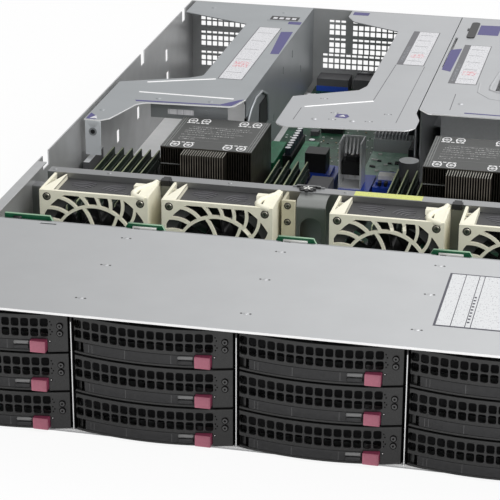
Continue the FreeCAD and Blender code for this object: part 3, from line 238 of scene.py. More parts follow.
def break_edges(shape, width, segments=1, limit=35, test=None):
    """A small bevel on the sharp edges."""
    sharp = [edge for edge in shape.edges if len(edge.link_faces) == 2
            and edge.calc_face_angle(0) > math.radians(limit) and (test is None or test(edge))]
    bevel(shape, sharp, width, segments)


def piece(name, shape, finishes, body, at=(0, 0, 0), smooth=40, flat=60):
    """A finished piece from a bmesh in millimetres, on a CAD body. Faces larger than flat stay plane."""
    mesh = bpy.data.meshes.new(name)
    shape.to_mesh(mesh)
    mesh.transform(Matrix.Scale(0.001, 4) @ Matrix.Translation(Vector(at)))
    for finish in finishes:
        mesh.materials.append(finish)
    mesh.set_sharp_from_angle(angle=math.radians(smooth))
    mesh.polygons.foreach_set("use_smooth", [polygon.area * 1e6 < flat for polygon in mesh.polygons])
    item = bpy.data.objects.new(name, mesh)
    scene.collection.objects.link(item)
    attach(item, body)
    return item


def painted(made, finish):
    """Gives the faces round new vertices their finish."""
    faces = {face for vertex in made["verts"] for face in vertex.link_faces}
    for face in faces:
        face.material_index = finish
    return faces


def block(shape, low, high, finish=0):
    """Adds a box between two corners."""
    low, high = Vector(low), Vector(high)
    middle = Matrix.Translation((low + high) / 2)
    return painted(bmesh.ops.create_cube(shape, size=1, matrix=middle
            @ Matrix.Diagonal((*(high - low), 1))), finish)


def disc(shape, at, radius, height, axis="Z", sides=24, finish=0, top=None):
    """Adds a short round bar that starts at a point and stands along an axis."""
    turn = {"Z": Matrix(), "Y": Matrix.Rotation(math.radians(90), 4, "X")}[axis]
    stand = Matrix.Translation(at) @ turn @ Matrix.Translation((0, 0, height / 2))
    return painted(bmesh.ops.create_cone(shape, cap_ends=True, segments=sides, radius1=radius, depth=height,
            radius2=radius if top is None else top, matrix=stand), finish)


zinc = sheet_metal("zinc_sheet", (0.47, 0.48, 0.485))
zinc_inside = sheet_metal("zinc_sheet_inside", (0.46, 0.465, 0.47), metallic=0.45)
zinc_floor_painted_light = sheet_metal("zinc_sheet_floor_painted_light", (0.95, 0.95, 0.95), metallic=0.15)
divider_black = sheet_metal("divider_front", (0.02, 0.02, 0.02), metallic=0.2)
divider_painted_highlight = sheet_metal("divider_painted_highlight", (0.9, 0.9, 0.9), metallic=0.5)
for node, width, steel in (("chassis_tray", 0.25, zinc_inside), ("drive_cage", 0.2, zinc)):
    shape = opened(node)
    for face in shape.faces:
        centre = face.calc_center_median()
        # Upward floor faces take a near-white copy of the zinc: painted light on the shaded floor.
        face.material_index = 1 if face.normal.z > 0.9 and centre.z < 3 else 0
        if node == "drive_cage" and face.normal.y < -0.9 and centre.y < 0.5:
            face.material_index = 2
    break_edges(shape, width)
    sheet = piece(node.replace("chassis_", "floor_and_wall_") + "_sheet", shape,
            [steel, zinc_floor_painted_light, divider_black], CHASSIS)
    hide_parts(node)
rear_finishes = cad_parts["rear_panel"].data.materials
rear_finishes.clear()
rear_finishes.append(zinc_inside)
# A thin near-white strip down the middle of each divider front is a painted highlight.
edges = bmesh.new()
for across in (-108.4, 0, 108.4):
    block(edges, (across - 0.28, -0.1, 1.3), (across + 0.28, 0.02, 78))
piece("divider_highlight_strips", edges, [divider_painted_highlight], CHASSIS)
shield = bmesh.new()
ports = ((-88, 31, 12.5), (-52, 16, 13.5), (-34, 16, 13.5), (-14, 15, 15.5), (5, 15, 15.5), (26, 16, 13.5),
        (44, 0, 16))
SHIELD_NEAR, SHIELD_FAR, SHIELD_LOW, SHIELD_HIGH = 743.1, 743.6, 9.2, 25.5
block(shield, (-99, SHIELD_NEAR, SHIELD_LOW), (-88, SHIELD_FAR, SHIELD_HIGH))
for (left, width, height), following in zip(ports, ports[1:]):
    right = left + width
    block(shield, (left, SHIELD_NEAR, 9.6 + height), (right, SHIELD_FAR, SHIELD_HIGH))
    block(shield, (right, SHIELD_NEAR, SHIELD_LOW), (following[0], SHIELD_FAR, SHIELD_HIGH))
piece("port_shield", shield, [zinc_inside], CHASSIS)

# ------------------------------------------------------------------ front cover
# The fixed front half of the lid: one sheet of zinc-coated steel whose front edge is folded down
# over the drive bays. Half-shear dimples locate it on the dividers.
cover_zinc = sheet_metal("cover_zinc", (0.6, 0.61, 0.62), scale=25, depth=0.05, bump=0.02)
# The folded-down front edge takes a near-white copy of the cover zinc: a painted highlight along the fold.
fold_painted_highlight = sheet_metal("cover_fold_painted_highlight", (0.95, 0.95, 0.95), scale=25, depth=0.02, bump=0, metallic=0.3)
shape = opened("drive_bay_cover")
for face in shape.faces:
    face.material_index = 1 if face.normal.y < -0.5 and face.calc_center_median().y < -7 else 0
break_edges(shape, 0.35, segments=2)
cover = piece("cover_sheet", shape, [cover_zinc, fold_painted_highlight], CHASSIS)
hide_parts("drive_bay_cover")
COVER_TOP = 87
dimples = bmesh.new()
for column in range(-1, 2):
    for along in (18.3, 75, 124.5):
        across_x = column * 109 + 2
        disc(dimples, (across_x, along, COVER_TOP - 0.3), 2.4, 0.42, top=1.5)
        # The two dark dots of each dimple are painted shade in its openings.
        for side in (-1, 1):
            disc(dimples, (across_x + side * 3, along, COVER_TOP - 0.35), 0.8, 0.42, sides=12, finish=1)
pit_painted_shade = sheet_metal("pit_painted_shade", (0.03, 0.03, 0.03), metallic=0)
piece("cover_dimples", dimples, [cover_zinc, pit_painted_shade], CHASSIS)

# ------------------------------------------------------------------ cover label
# A printed paper table in a thin dark frame, stuck on the right of the cover. Its columns are ruled,
# and a row of small dark marks runs along one of them.
LABEL_LEFT, LABEL_NEAR, LABEL_FAR = 119.6, 27.2, 113.9


def printed(name, paper, ink, rows, across, amount=0.5):
    """Paper with rows of small grey marks like unreadable print."""
    finish, tree, shader = new_finish(name)
    place = shader_node(tree, "TexCoord")
    spread = shader_node(tree, "Mapping", {"Vector": place.outputs["Object"], "Scale": (across, rows, 1)})
    marks = shader_node(tree, "TexNoise", {"Vector": spread.outputs[0], "Scale": 1, "Detail": 3,
            "Roughness": 0.8})
    edge = shader_node(tree, "MapRange", {"Value": marks.outputs["Fac"], "From Min": amount,
            "From Max": amount + 0.08})
    mix = shader_node(tree, "Mix", {"Factor": edge.outputs[0], "A": (*paper, 1), "B": (*ink, 1)},
            data_type="RGBA")
    wire(tree, shader, {"Roughness": 0.45, "Base Color": mix.outputs["Result"]})
    return finish


def solid_finish(name, color, roughness=0.45, metallic=0, coat=0, speckle=0.06, size=400, bump=0.05,
        specular=0.5):
    """A moulded or printed finish: one colour with faint mottling and a fine surface texture."""
    finish, tree, shader = new_finish(name)
    place = shader_node(tree, "TexCoord")
    marks = shader_node(tree, "TexNoise", {"Vector": place.outputs["Object"], "Scale": size,
            "Detail": 3}).outputs["Fac"]
    darker = [max(0, part - speckle * (part + 0.02)) for part in color]
    lighter = [min(1, part + speckle * (part + 0.02)) for part in color]
    mix = shader_node(tree, "Mix", {"Factor": marks, "A": (*darker, 1), "B": (*lighter, 1)}, data_type="RGBA")
    gloss = shader_node(tree, "MapRange", {"Value": marks, "To Min": roughness - 0.05,
            "To Max": roughness + 0.05})
    rise = shader_node(tree, "Bump", {"Strength": bump, "Distance": 0.0001, "Height": marks})
    wire(tree, shader, {"Metallic": metallic, "Coat Weight": coat, "Specular IOR Level": specular,
            "Base Color": mix.outputs["Result"], "Roughness": gloss.outputs[0], "Normal": rise.outputs[0]})
    return finish


label_white = printed("label_print", (0.66, 0.67, 0.68), (0.4, 0.4, 0.42), 500, 900, 0.55)
label_ink = solid_finish("label_ink", (0.06, 0.06, 0.08), 0.5)
label = bmesh.new()
right = 205
block(label, (LABEL_LEFT, LABEL_NEAR, COVER_TOP), (right, LABEL_FAR, COVER_TOP + 0.08), 1)
block(label, (LABEL_LEFT + 1.6, LABEL_NEAR + 1.6, COVER_TOP + 0.02),
        (right - 1.6, LABEL_FAR - 1.6, COVER_TOP + 0.14))
for line in (9, 18, 21.5, 52):
    block(label, (LABEL_LEFT + 1.6 + line, LABEL_NEAR + 1.6, COVER_TOP + 0.1),
            (LABEL_LEFT + 2.1 + line, LABEL_FAR - 1.6, COVER_TOP + 0.18), 1)
for number in range(9):
    along = LABEL_NEAR + 8 + number * 5
    block(label, (LABEL_LEFT + 20.4, along, COVER_TOP + 0.1), (LABEL_LEFT + 22, along + 2.2,
            COVER_TOP + 0.18), 1)
piece("cover_label", label, [label_white, label_ink], CHASSIS)

# ------------------------------------------------------------------ drive carriers
# Twelve hot-swap carriers: a black nylon bezel bowed outwards, with two rows of rounded air holes and
# two light pipes, riveted to steel side rails that hold a 3.5 inch drive.
PITCH, RISE, HALF_WIDTH, FLOOR = 108.4, 27.5, 216.8, 1.2
BEZEL_LEFT, BEZEL_RIGHT, BEZEL_LOW, BEZEL_HIGH, BEZEL_REAR = 1, 107.4, 0.4, 26.3, 4.5
BOW_RADIUS = (BEZEL_RIGHT - BEZEL_LEFT) ** 2 / 60 + 3.75
BOW_AXIS = BOW_RADIUS - 6.9
bays = [(f"{row + 1}_{column + 1}", (column * PITCH - HALF_WIDTH, 0, FLOOR + row * RISE))
        for row in range(3) for column in range(4)]


def bow(across):
    """How far back the bowed front lies at a place across the bay."""
    return BOW_AXIS - math.sqrt(BOW_RADIUS ** 2 - (across - PITCH / 2) ** 2)


def inside(face, left, right, low, high):
    """True where a face's centre lies in a window of the bezel."""
    middle = face.calc_center_median()
    return left < middle.x < right and low < middle.z < high


def cut(shape, faces, place, normal, clear=False):
    """Cuts some faces along a plane, and can clear what lies behind it."""
    touched = dict.fromkeys(item for face in faces for item in (*face.verts, *face.edges, face))
    bmesh.ops.bisect_plane(shape, geom=list(touched), plane_co=place, plane_no=normal, clear_inner=clear)


bezel = bmesh.new()
flat = (Matrix.Translation(((BEZEL_LEFT + BEZEL_RIGHT) / 2, 0, (BEZEL_LOW + BEZEL_HIGH) / 2))
        @ Matrix.Rotation(math.radians(90), 4, "X"))
bmesh.ops.create_grid(bezel, x_segments=1, y_segments=1, size=0.5,
        matrix=flat @ Matrix.Diagonal((BEZEL_RIGHT - BEZEL_LEFT, BEZEL_HIGH - BEZEL_LOW, 1, 1)))
for level in (1.7, 8.9, 9.7, 10.65, 17.55, 24.45):
    cut(bezel, bezel.faces, (0, 0, level), (0, 0, 1))
for number in range(16):
    cut(bezel, bezel.faces, (1.7 + 6.2 * number, 0, 0), (1, 0, 0))
TAB_LEFT, TAB_RIGHT, LEVER_LOW, LEVER_HIGH, STEP_HIGH = 82.7, 93.7, 1.7, 8.9, 9.7
for side in (TAB_LEFT, TAB_RIGHT):
    lower = [face for face in bezel.faces if face.calc_center_median().z < STEP_HIGH]
    cut(bezel, lower, (side, 0, 0), (1, 0, 0))
GRILLE = (1.7, 94.7, 10.65, 24.45)
cells = [face for face in bezel.faces if inside(face, *GRILLE)]
bmesh.ops.inset_individual(bezel, faces=cells, thickness=0.75)
corners = corners_of(cells)
bevel(bezel, corners, 1.25, 2, affect="VERTICES", clamp=False)
holes = [face for face in bezel.faces if inside(face, *GRILLE) and len(face.verts) > 10]
bmesh.ops.delete(bezel, geom=holes, context="FACES")
pocket = [face for face in bezel.faces if inside(face, TAB_LEFT, TAB_RIGHT, 0, STEP_HIGH)]
bmesh.ops.delete(bezel, geom=pocket, context="FACES")
recess = [face for face in bezel.faces if inside(face, 7.9, TAB_LEFT, LEVER_LOW, LEVER_HIGH)]
bmesh.ops.inset_region(bezel, faces=recess, thickness=0.15, depth=-3.3, use_even_offset=True)
step = [face for face in bezel.faces if inside(face, 1.7, 7.9, LEVER_LOW, LEVER_HIGH)]
bmesh.ops.inset_region(bezel, faces=step, thickness=0.2, depth=-2.6, use_even_offset=True)
outline = ((0, BEZEL_LEFT), (0, BEZEL_RIGHT), (2, BEZEL_LOW), (2, BEZEL_HIGH))
rim = [edge for edge in bezel.edges if edge.is_boundary and any(all(abs(vertex.co[axis] - place) < 0.01
        for vertex in edge.verts) for axis, place in outline)]
drawn = bmesh.ops.extrude_edge_only(bezel, edges=rim)
back = [item for item in drawn["geom"] if isinstance(item, bmesh.types.BMVert)]
for vertex in bezel.verts:
    if vertex in back:
        vertex.co.y = BEZEL_REAR
    else:
        vertex.co.y += bow(vertex.co.x)
        vertex.co.x = min(max(vertex.co.x, BEZEL_LEFT + 1.1), BEZEL_RIGHT - 1.3)
bmesh.ops.recalc_face_normals(bezel, faces=bezel.faces)
if sum(face.normal.y for face in bezel.faces if abs(face.normal.y) > 0.9) > 0:
    bmesh.ops.reverse_faces(bezel, faces=bezel.faces)
top_edges = [edge for edge in bezel.edges if len(edge.link_faces) == 2
        and all(vertex.co.z > BEZEL_HIGH - 0.01 and vertex.co.y < 4.2 for vertex in edge.verts)]
bevel(bezel, top_edges, 1.6, 3)
# Sideways faces, the walls of the holes, pockets and bezel ends, take a near-black finish: painted shade.
for face in bezel.faces:
    face.material_index = 1 if abs(face.normal.x) > 0.6 else 2 if 0.3 < face.normal.z < 0.95 else 0
front_edges = [edge for edge in bezel.edges if len(edge.link_faces) == 2 and edge.calc_face_angle(0) > 0.7]
bevel(bezel, front_edges, 0.35, 2)
bmesh.ops.solidify(bezel, geom=bezel.faces[:], thickness=1.3)
black_nylon = solid_finish("black_nylon", (0.016, 0.016, 0.016), 0.3, speckle=0.5, size=1500, bump=0.3,
        specular=0.5)
lamp_ring = solid_finish("light_pipe", (0.055, 0.055, 0.055), 0.25)
pipes = bmesh.new()
PIPE_ACROSS = 101.4
# The dark ring round each light pipe and the small dark dots are painted shade in their recesses.
for level in (13.3, 18.4):
    for stand, radius, length, sides, finish in ((0.3, 2.3, 0.6, 18, 2), (0.1, 1.7, 0.6, 16, 1),
            (-0.4, 0.7, 0.3, 10, 2)):
        disc(pipes, (PIPE_ACROSS, bow(PIPE_ACROSS) + stand, level), radius, length, axis="Y", sides=sides,
                finish=finish)
for across, level in ((95.4, 21.6), (96.2, 19.4), (95.4, 16.2), (96.6, 14.6), (95.6, 12.8)):
    disc(pipes, (across, bow(across) + 0.3, level), 0.5, 0.4, axis="Y", sides=8, finish=2)
hole_painted_shade = solid_finish("hole_painted_shade", (0.002, 0.002, 0.002), 0.6, specular=0.1)
# Upward-sloping faces of the bezel get a lighter black: a painted sheen from the light above.
bezel_painted_sheen = solid_finish("black_nylon_painted_sheen", (0.06, 0.062, 0.06), 0.3, speckle=0.3, size=1200, bump=0.2)
painted_glint = solid_finish("painted_glint", (0.5, 0.5, 0.5), 0.3)
disc(pipes, (95, bow(95) + 0.3, 7.9), 0.9, 0.5, axis="Y", sides=12, finish=2)
# The pale centre of this dark dot is a painted glint.
disc(pipes, (95.1, bow(95) - 0.1, 8.1), 0.42, 0.3, axis="Y", sides=10, finish=3)

rails = opened("drive_carrier_1_1")
bmesh.ops.translate(rails, vec=-Vector(bays[0][1]), verts=rails.verts)
for island in solids_of(rails):
    low, high = extent(island)
    if low.y < -1 and high.y > 50:
        cut(rails, island, (0, BEZEL_REAR - 0.3, 0), (0, 1, 0), clear=True)
for island in solids_of(rails):
    low, high = extent(island)
    finish = 1 if high.x - low.x > 50 else 0
    for face in island:
        face.material_index = 2 if face.normal.y < -0.5 and finish == 1 else finish
drive_metal = sheet_metal("drive_lid", (0.42, 0.43, 0.44), scale=40)
drive_end = solid_finish("drive_end", (0.01, 0.01, 0.011), 0.6, specular=0.2)
for name, spot in bays:
    body = f"carrier_{name}"
    front = piece(f"bezel_{name}", bezel, [black_nylon, hole_painted_shade, bezel_painted_sheen], body, spot)
    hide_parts(f"drive_carrier_{name}")
    piece(f"light_pipes_{name}", pipes, [black_nylon, lamp_ring, hole_painted_shade, painted_glint], body, spot)
    piece(f"rails_and_drive_{name}", rails, [zinc, drive_metal, drive_end], body, spot)

# ------------------------------------------------------------------ carrier levers
# A bowed bar of glossier black nylon that swings out on a pin at its left end and levers the drive
# out of its socket. Two shallow seams cross it, and its free end has a ribbed thumb grip.
lever_black = solid_finish("lever_nylon", (0.021, 0.021, 0.022), 0.24, speckle=0.2, size=300, bump=0.1,
        specular=0.35)
lever = opened("carrier_lever_1_1")
bmesh.ops.translate(lever, vec=-Vector(bays[0][1]), verts=lever.verts)
break_edges(lever, 0.45, segments=2, limit=50)
# The seams are real; their lighter grey is a painted highlight on their edges.
for seam in (37.3, 67.6):
    block(lever, (seam - 0.25, bow(seam) - 0.12, 2.3), (seam + 0.25, bow(seam) + 0.8, 8.3), 1)
for seam in (12.4, 14.8):
    block(lever, (seam - 0.2, bow(seam) - 0.15, 2.5), (seam + 0.2, bow(seam) + 0.8, 8.1), 1)
GRIP_ACROSS = 77
# The upper pad is painted much lighter than the lower one: a painted highlight along the top of the grip.
for level, high, finish in ((2.4, 3, 0), (5.9, 2.4, 2)):
    pad = block(lever, (71.6, bow(GRIP_ACROSS) - 1.3, level), (81.9, bow(GRIP_ACROSS) + 0.9, level + high),
            finish)
    corners = list({edge for face in pad for edge in face.edges})
    bmesh.ops.rotate(lever, cent=(GRIP_ACROSS, bow(GRIP_ACROSS), 0),
            matrix=Matrix.Rotation(math.asin((GRIP_ACROSS - PITCH / 2) / BOW_RADIUS), 3, "Z"),
            verts=corners_of(pad))
    bevel(lever, corners, 1.1, 3)
seam_painted_highlight = solid_finish("seam_painted_highlight", (0.045, 0.045, 0.046), 0.2, speckle=0.1, size=300, coat=0.4)
grip_painted_highlight = solid_finish("grip_painted_highlight", (0.13, 0.13, 0.13), 0.2, speckle=0.1, size=300, coat=0.4)
for name, spot in bays:
    bar = piece(f"lever_{name}", lever, [lever_black, seam_painted_highlight, grip_painted_highlight], f"lever_{name}", spot, smooth=30)
    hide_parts(f"carrier_lever_{name}")

# ------------------------------------------------------------------ release tabs
# The sprung tab that lets the lever go, moulded in wine-red nylon: a block with a lipped, slightly
# hollow front for the thumb. It is pressed towards the drive.
tab_red = solid_finish("wine_nylon", (0.34, 0.105, 0.15), 0.32, speckle=0.15, size=600, bump=0.1)
tab_painted_shade = solid_finish("wine_nylon_painted_shade", (0.16, 0.025, 0.055), 0.4, speckle=0.1, size=600)
tab = bmesh.new()
faces = block(tab, (83, -7.6, 1.4), (93.4, -0.5, 9.4))
# The top and right faces take a darker red: painted shade.
for face in faces:
    face.material_index = 1 if face.normal.z > 0.9 or face.normal.x > 0.9 else 0
front = [face for face in faces if face.normal.y < -0.9 or face.calc_center_median().y < -7.5]
bmesh.ops.inset_region(tab, faces=front, thickness=0.9, depth=0)
bmesh.ops.translate(tab, vec=(0, 0.7, -0.3), verts=front[0].verts)
break_edges(tab, 0.5, segments=2)
for name, spot in bays:
    button = piece(f"release_tab_{name}", tab, [tab_red, tab_painted_shade], f"release_{name}", spot)
    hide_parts(f"release_button_{name}")


# ------------------------------------------------------------------ backplane
# A green fibreglass board screwed upright behind the drives. Four notched tabs of it stand up behind
# the cover, their cut edges pale. The drive sockets and cable plugs are black and sit on its front.
def dress(node, body, finishes, choose=None, width=0, segments=1, limit=35, smooth=40, after=None, only=None):
    """Replaces a CAD node by a copy whose solids take their finishes by place, with broken edges."""
    shape = opened(node)
    for island in solids_of(shape):
        low, high = extent(island)
        for face in island:
            face.material_index = choose(low, high) if choose else 0
    if after:
        after(shape)
    if width:
        break_edges(shape, width, segments, limit, only)
    look = piece(node + "_look", shape, finishes, body, smooth=smooth)
    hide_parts(node)


def circuit(name, base, track, cells=900, share=0.5, roughness=0.35):
    """Solder mask over copper: blocks and lanes of lighter green, with small bright pads."""
    finish, tree, shader = new_finish(name)
    place = shader_node(tree, "TexCoord").outputs["Object"]
    lanes, pads = [shader_node(tree, "TexVoronoi", {"Vector": place, "Scale": size},
            distance="CHEBYCHEV").outputs for size in (cells / 6, cells)]
    split = shader_node(tree, "SeparateColor", {0: lanes["Color"]})
    level = shader_node(tree, "MapRange", {"Value": split.outputs[0], "From Min": share})
    dot = shader_node(tree, "MapRange", {"Value": pads["Distance"], "From Min": 0.17, "From Max": 0.13})
    colour = shader_node(tree, "Mix", {"Factor": level.outputs[0], "A": (*base, 1), "B": (*track, 1)},
            data_type="RGBA")
    thin = shader_node(tree, "Math", {0: dot.outputs[0], 1: 0.5}, operation="MULTIPLY")
    tin = shader_node(tree, "Mix", {"Factor": thin.outputs[0], "A": colour.outputs["Result"],
            "B": (0.45, 0.47, 0.42, 1)}, data_type="RGBA")
    wire(tree, shader, {"Roughness": roughness, "Base Color": tin.outputs["Result"]})
    return finish


board_green = circuit("board_green", (0.004, 0.04, 0.018), (0.01, 0.085, 0.04))
tab_green = solid_finish("tab_green", (0.006, 0.095, 0.04), 0.35, speckle=0.25, size=200)
board_edge = solid_finish("board_edge", (0.22, 0.36, 0.24), 0.6)
socket_black_and_pit_shade = solid_finish("socket_black_and_pit_shade", (0.014, 0.014, 0.015), 0.42, speckle=0.2, size=500, specular=0.35)
white_nylon_and_streak_glint = solid_finish("white_nylon_and_streak_glint", (0.7, 0.7, 0.67), 0.45)


def pale_rims(shape):
    """The cut edges of the upright board show bare fibreglass."""
    for face in shape.faces:
        if face.material_index == 0 and abs(face.normal.y) < 0.5:
            face.material_index = 1


dress("backplane", CHASSIS, [tab_green, board_edge, socket_black_and_pit_shade], lambda low,
        high: 0 if high.x - low.x > 300 else 2, after=pale_rims)
tabs = bmesh.new()
for middle in (-102, 6.4, 114.8):
    block(tabs, (middle - 8.5, 152.4, 79.2), (middle + 8.5, 154.5, 84.4), 1)
    block(tabs, (middle - 7.3, 152.2, 80), (middle + 7.3, 153, 83.4), 0)
    for number in range(6):
        block(tabs, (middle - 6.3 + number * 2.2, 151.9, 80.8), (middle - 5.6 + number * 2.2, 152.4, 82.6), 1)
block(tabs, (-199, 153.9, 80.5), (-193, 154.7, 84.5), 0)
piece("backplane_plugs", tabs, [socket_black_and_pit_shade, white_nylon_and_streak_glint], CHASSIS)

# ------------------------------------------------------------------ fans
# Four fan modules: a charcoal plastic frame and rotor clipped into an ivory nylon holder, whose front
# plate carries the curved finger guard. A thick rounded finger at the top right lifts the module out.
FANS = {1: -157, 2: -63.6, 3: 61.2, 4: 154.6}
AXIS, PLATE = 43.1, 210.5
SCREW_ACROSS, SCREW_RISE = 35.8, 36
VANES, VANE_MIDDLE = 13, 243.7
ivory = solid_finish("ivory_nylon", (0.85, 0.82, 0.67), 0.5, speckle=0.05, size=250, bump=0.08)
charcoal = solid_finish("charcoal_nylon", (0.04, 0.04, 0.042), 0.5, speckle=0.15, size=500, bump=0.15)
relief_painted_highlight = solid_finish("relief_painted_highlight", (0.085, 0.083, 0.092), 0.42, speckle=0.15, size=500)
rotor_black = solid_finish("rotor_nylon", (0.007, 0.007, 0.007), 0.45, speckle=0.15, size=400, specular=0.25)
screw_steel = sheet_metal("screw_steel", (0.42, 0.4, 0.34), scale=300)
dark_ring = solid_finish("screw_shadow", (0.03, 0.03, 0.025), 0.6)


def tube(shape, path, radius, sides=10, finish=0):
    """A round bar along a path of points, with closed ends."""
    points = [Vector(point) for point in path]
    loops = []
    for number, point in enumerate(points):
        ahead = points[min(number + 1, len(points) - 1)] - points[max(number - 1, 0)]
        turn = ahead.to_track_quat("Z", "X").to_matrix().to_4x4()
        ring = bmesh.ops.create_circle(shape, cap_ends=number in (0, len(points) - 1), segments=sides,
                radius=radius, matrix=Matrix.Translation(point) @ turn)
        edges = {edge for vertex in ring["verts"] for edge in vertex.link_edges}
        if loops:
            made = bmesh.ops.bridge_loops(shape, edges=list(loops[-1] | edges))
            for face in made["faces"]:
                face.material_index = finish
        loops.append(edges)
        for vertex in ring["verts"]:
            for face in vertex.link_faces:
                face.material_index = finish


def arc(shape, centre, radius, start, end, width, high, steps=12, finish=0):
    """A flat raised strip bent round a centre, on the level of the centre."""
    centre = Vector(centre)
    strip = []
    for number in range(steps + 1):
        angle = math.radians(start + (end - start) * number / steps)
        taper = width * (0.35 + 0.65 * math.sin(math.pi * number / steps))
        away = Vector((math.cos(angle), math.sin(angle), 0))
        strip.append([shape.verts.new(centre + away * (radius + side * taper / 2)) for side in (-1, 1)])
    faces = [shape.faces.new((strip[n][0], strip[n][1], strip[n + 1][1], strip[n + 1][0]))
            for n in range(steps)]
    bmesh.ops.recalc_face_normals(shape, faces=faces)
    raised = bmesh.ops.extrude_face_region(shape, geom=faces)
    top = [item for item in raised["geom"] if isinstance(item, bmesh.types.BMVert)]
    bmesh.ops.translate(shape, vec=(0, 0, high), verts=top)
    for vertex in [vertex for pair in strip for vertex in pair] + top:
        for face in vertex.link_faces:
            face.material_index = finish


def patch(shape, corners, level, height, finish):
    """A flat raised shape with the given outline."""
    face = shape.faces.new([shape.verts.new((x, y, level)) for x, y in corners])
    face.normal_update()
    if face.normal.z > 0:
        face.normal_flip()
    raised = bmesh.ops.extrude_face_region(shape, geom=[face])
    top = [item for item in raised["geom"] if isinstance(item, bmesh.types.BMVert)]
    bmesh.ops.translate(shape, vec=(0, 0, height), verts=top)
    for vertex in top:
        for side in vertex.link_faces:
            side.material_index = finish


trim = bmesh.new()
block(trim, (-39.6, 213, 79.7), (39.3, 247.3, 80.15), 4)
for across in (-SCREW_ACROSS, SCREW_ACROSS):
    for level in (AXIS + SCREW_RISE, AXIS - SCREW_RISE):
        disc(trim, (across, PLATE + 0.1, level), 3.1, 0.25, axis="Y", sides=20, finish=3)
        disc(trim, (across, PLATE, level), 2.4, 0.6, axis="Y", sides=20, finish=2, top=1.9)
        for wide, high in ((1.3, 0.28), (0.28, 1.3)):
            block(trim, (across - wide, PLATE - 0.72, level - high),
                    (across + wide, PLATE - 0.5, level + high), 3)
finger = [(39, 212, 82.6), (34, 212.4, 83.4), (30, 214.5, 83.8), (28.6, 219, 83.9), (29.2, 225, 83.9),
        (31.5, 230.5, 83.9), (34.8, 234.5, 83.9), (38, 239.5, 83.8), (38.9, 246, 83.4)]
tube(trim, finger, 2.3, sides=12, finish=0)
block(trim, (39.4, 213, 78), (41.3, 247.4, 84.2), 0)
block(trim, (-41.3, 213, 79.5), (-39.9, 247.3, 84.3), 0)
patch(trim, [(-40.6, 212.9), (-31, 212.9), (-31, 246.8), (-31.8, 246.8)], 83.2, 0.9, 0)
block(trim, (-31.9, 212.9, 79.7), (-31, 246.9, 83.9), 0)
for along in (220, 229, 238):
    block(trim, (-40.6, along, 80), (-32, along + 0.8, 82.4), 0)
for number in range(VANES):
    vane = block(trim, (-0.5, 240.6, AXIS + 15), (0.5, 246.8, AXIS + 36.3), 4)
    spin = (Matrix.Translation((0, VANE_MIDDLE, AXIS)) @ Matrix.Rotation(math.tau * number / VANES, 4, "Y")
            @ Matrix.Rotation(math.radians(52), 4, "Z") @ Matrix.Translation((0, -VANE_MIDDLE, -AXIS)))
    bmesh.ops.transform(trim, matrix=spin, verts=corners_of(vane))
# The raised swirls are real; their lighter charcoal is a painted highlight on them.
for middle, start in ((-14, 30), (15, 60)):
    for ring in range(4):
        arc(trim, (middle, 228, 80.05), 4 + ring * 3.4, start + ring * 8, start + 130 - ring * 6, 1.5, 0.45,
                finish=1)
        arc(trim, (middle, 228, 80.05), 3 + ring * 3.4, start + 190 + ring * 9, start + 300 - ring * 4, 1.3,
                0.4, finish=1)
for number, middle in FANS.items():
    dress(f"fan_housing_{number}", f"fan_{number}", [ivory, charcoal], lambda low,
            high: 0 if high.x - low.x > 80 else 1, width=0.35, segments=2, limit=50,
            only=lambda edge: edge.link_faces[0].material_index == 0)
    dress(f"fan_rotor_{number}", f"rotor_{number}", [rotor_black], width=0.15)
    piece(f"fan_trim_{number}", trim, [ivory, relief_painted_highlight, screw_steel, dark_ring, charcoal],
            f"fan_{number}", (middle, 0, 0))

# ------------------------------------------------------------------ fan cage
# A steel rail behind the fans with a floor, held by end brackets. In the middle an ivory guide strip
# and a bent cable bracket fill the gap between the fans, under a black turn knob.
rail_zinc = sheet_metal("rail_zinc", (0.36, 0.365, 0.37), scale=30, depth=0.05)
old_ivory = solid_finish("ivory_strip", (0.5, 0.47, 0.34), 0.5, speckle=0.08, size=200)
bracket_grey = sheet_metal("bracket_grey", (0.3, 0.31, 0.3), scale=50, metallic=0.85)
sticker_green = printed("sticker_print", (0.6, 0.63, 0.16), (0.36, 0.4, 0.16), 520, 900, 0.56)


def cage_part(low, high):
    """Which finish a sheet of the fan cage has."""
    if low.x < -19 and high.x < 0:
        return 1
    if low.z > 84.9 and high.x < 2:
        return 2
    return 3 if high.x - low.x < 30 else 0


dress("fan_cage", CHASSIS, [rail_zinc, old_ivory, socket_black_and_pit_shade, bracket_grey], cage_part, width=0.2, limit=50)
cage = bmesh.new()
block(cage, (30.7, 248.6, 85), (80.9, 257.6, 85.12), 1)
KNOB = (-4.6, 252.8)
for number in range(8):
    angle = number * math.pi / 4
    disc(cage, (KNOB[0] + 4.9 * math.cos(angle), KNOB[1] + 4.9 * math.sin(angle), 85), 1.5, 1.35, sides=8)
for number in range(5):
    point = block(cage, (-0.55, 0, 86.35), (0.55, 3.6, 86.6), 3)
    bmesh.ops.rotate(cage, cent=(0, 0, 0), matrix=Matrix.Rotation(number * math.tau / 5, 3, "Z"),
            verts=corners_of(point))
    bmesh.ops.translate(cage, vec=(*KNOB, 0), verts=corners_of(point))
block(cage, (-13.5, 256.9, 84.9), (4.5, 258.1, 86.6), 2)
block(cage, (-16.5, 256.9, 84.9), (7.5, 258.1, 85.8), 2)
for level in (80, 67.4):
    disc(cage, (-14.8, 229.1, level), 2.6, 0.2, axis="Y", finish=0)
    disc(cage, (-14.8, 229, level), 2, 0.7, axis="Y", finish=4, top=1.6)
    block(cage, (-15.9, 228.2, level - 0.25), (-13.7, 228.5, level + 0.25), 0)
    block(cage, (-15.05, 228.2, level - 1.1), (-14.55, 228.5, level + 1.1), 0)
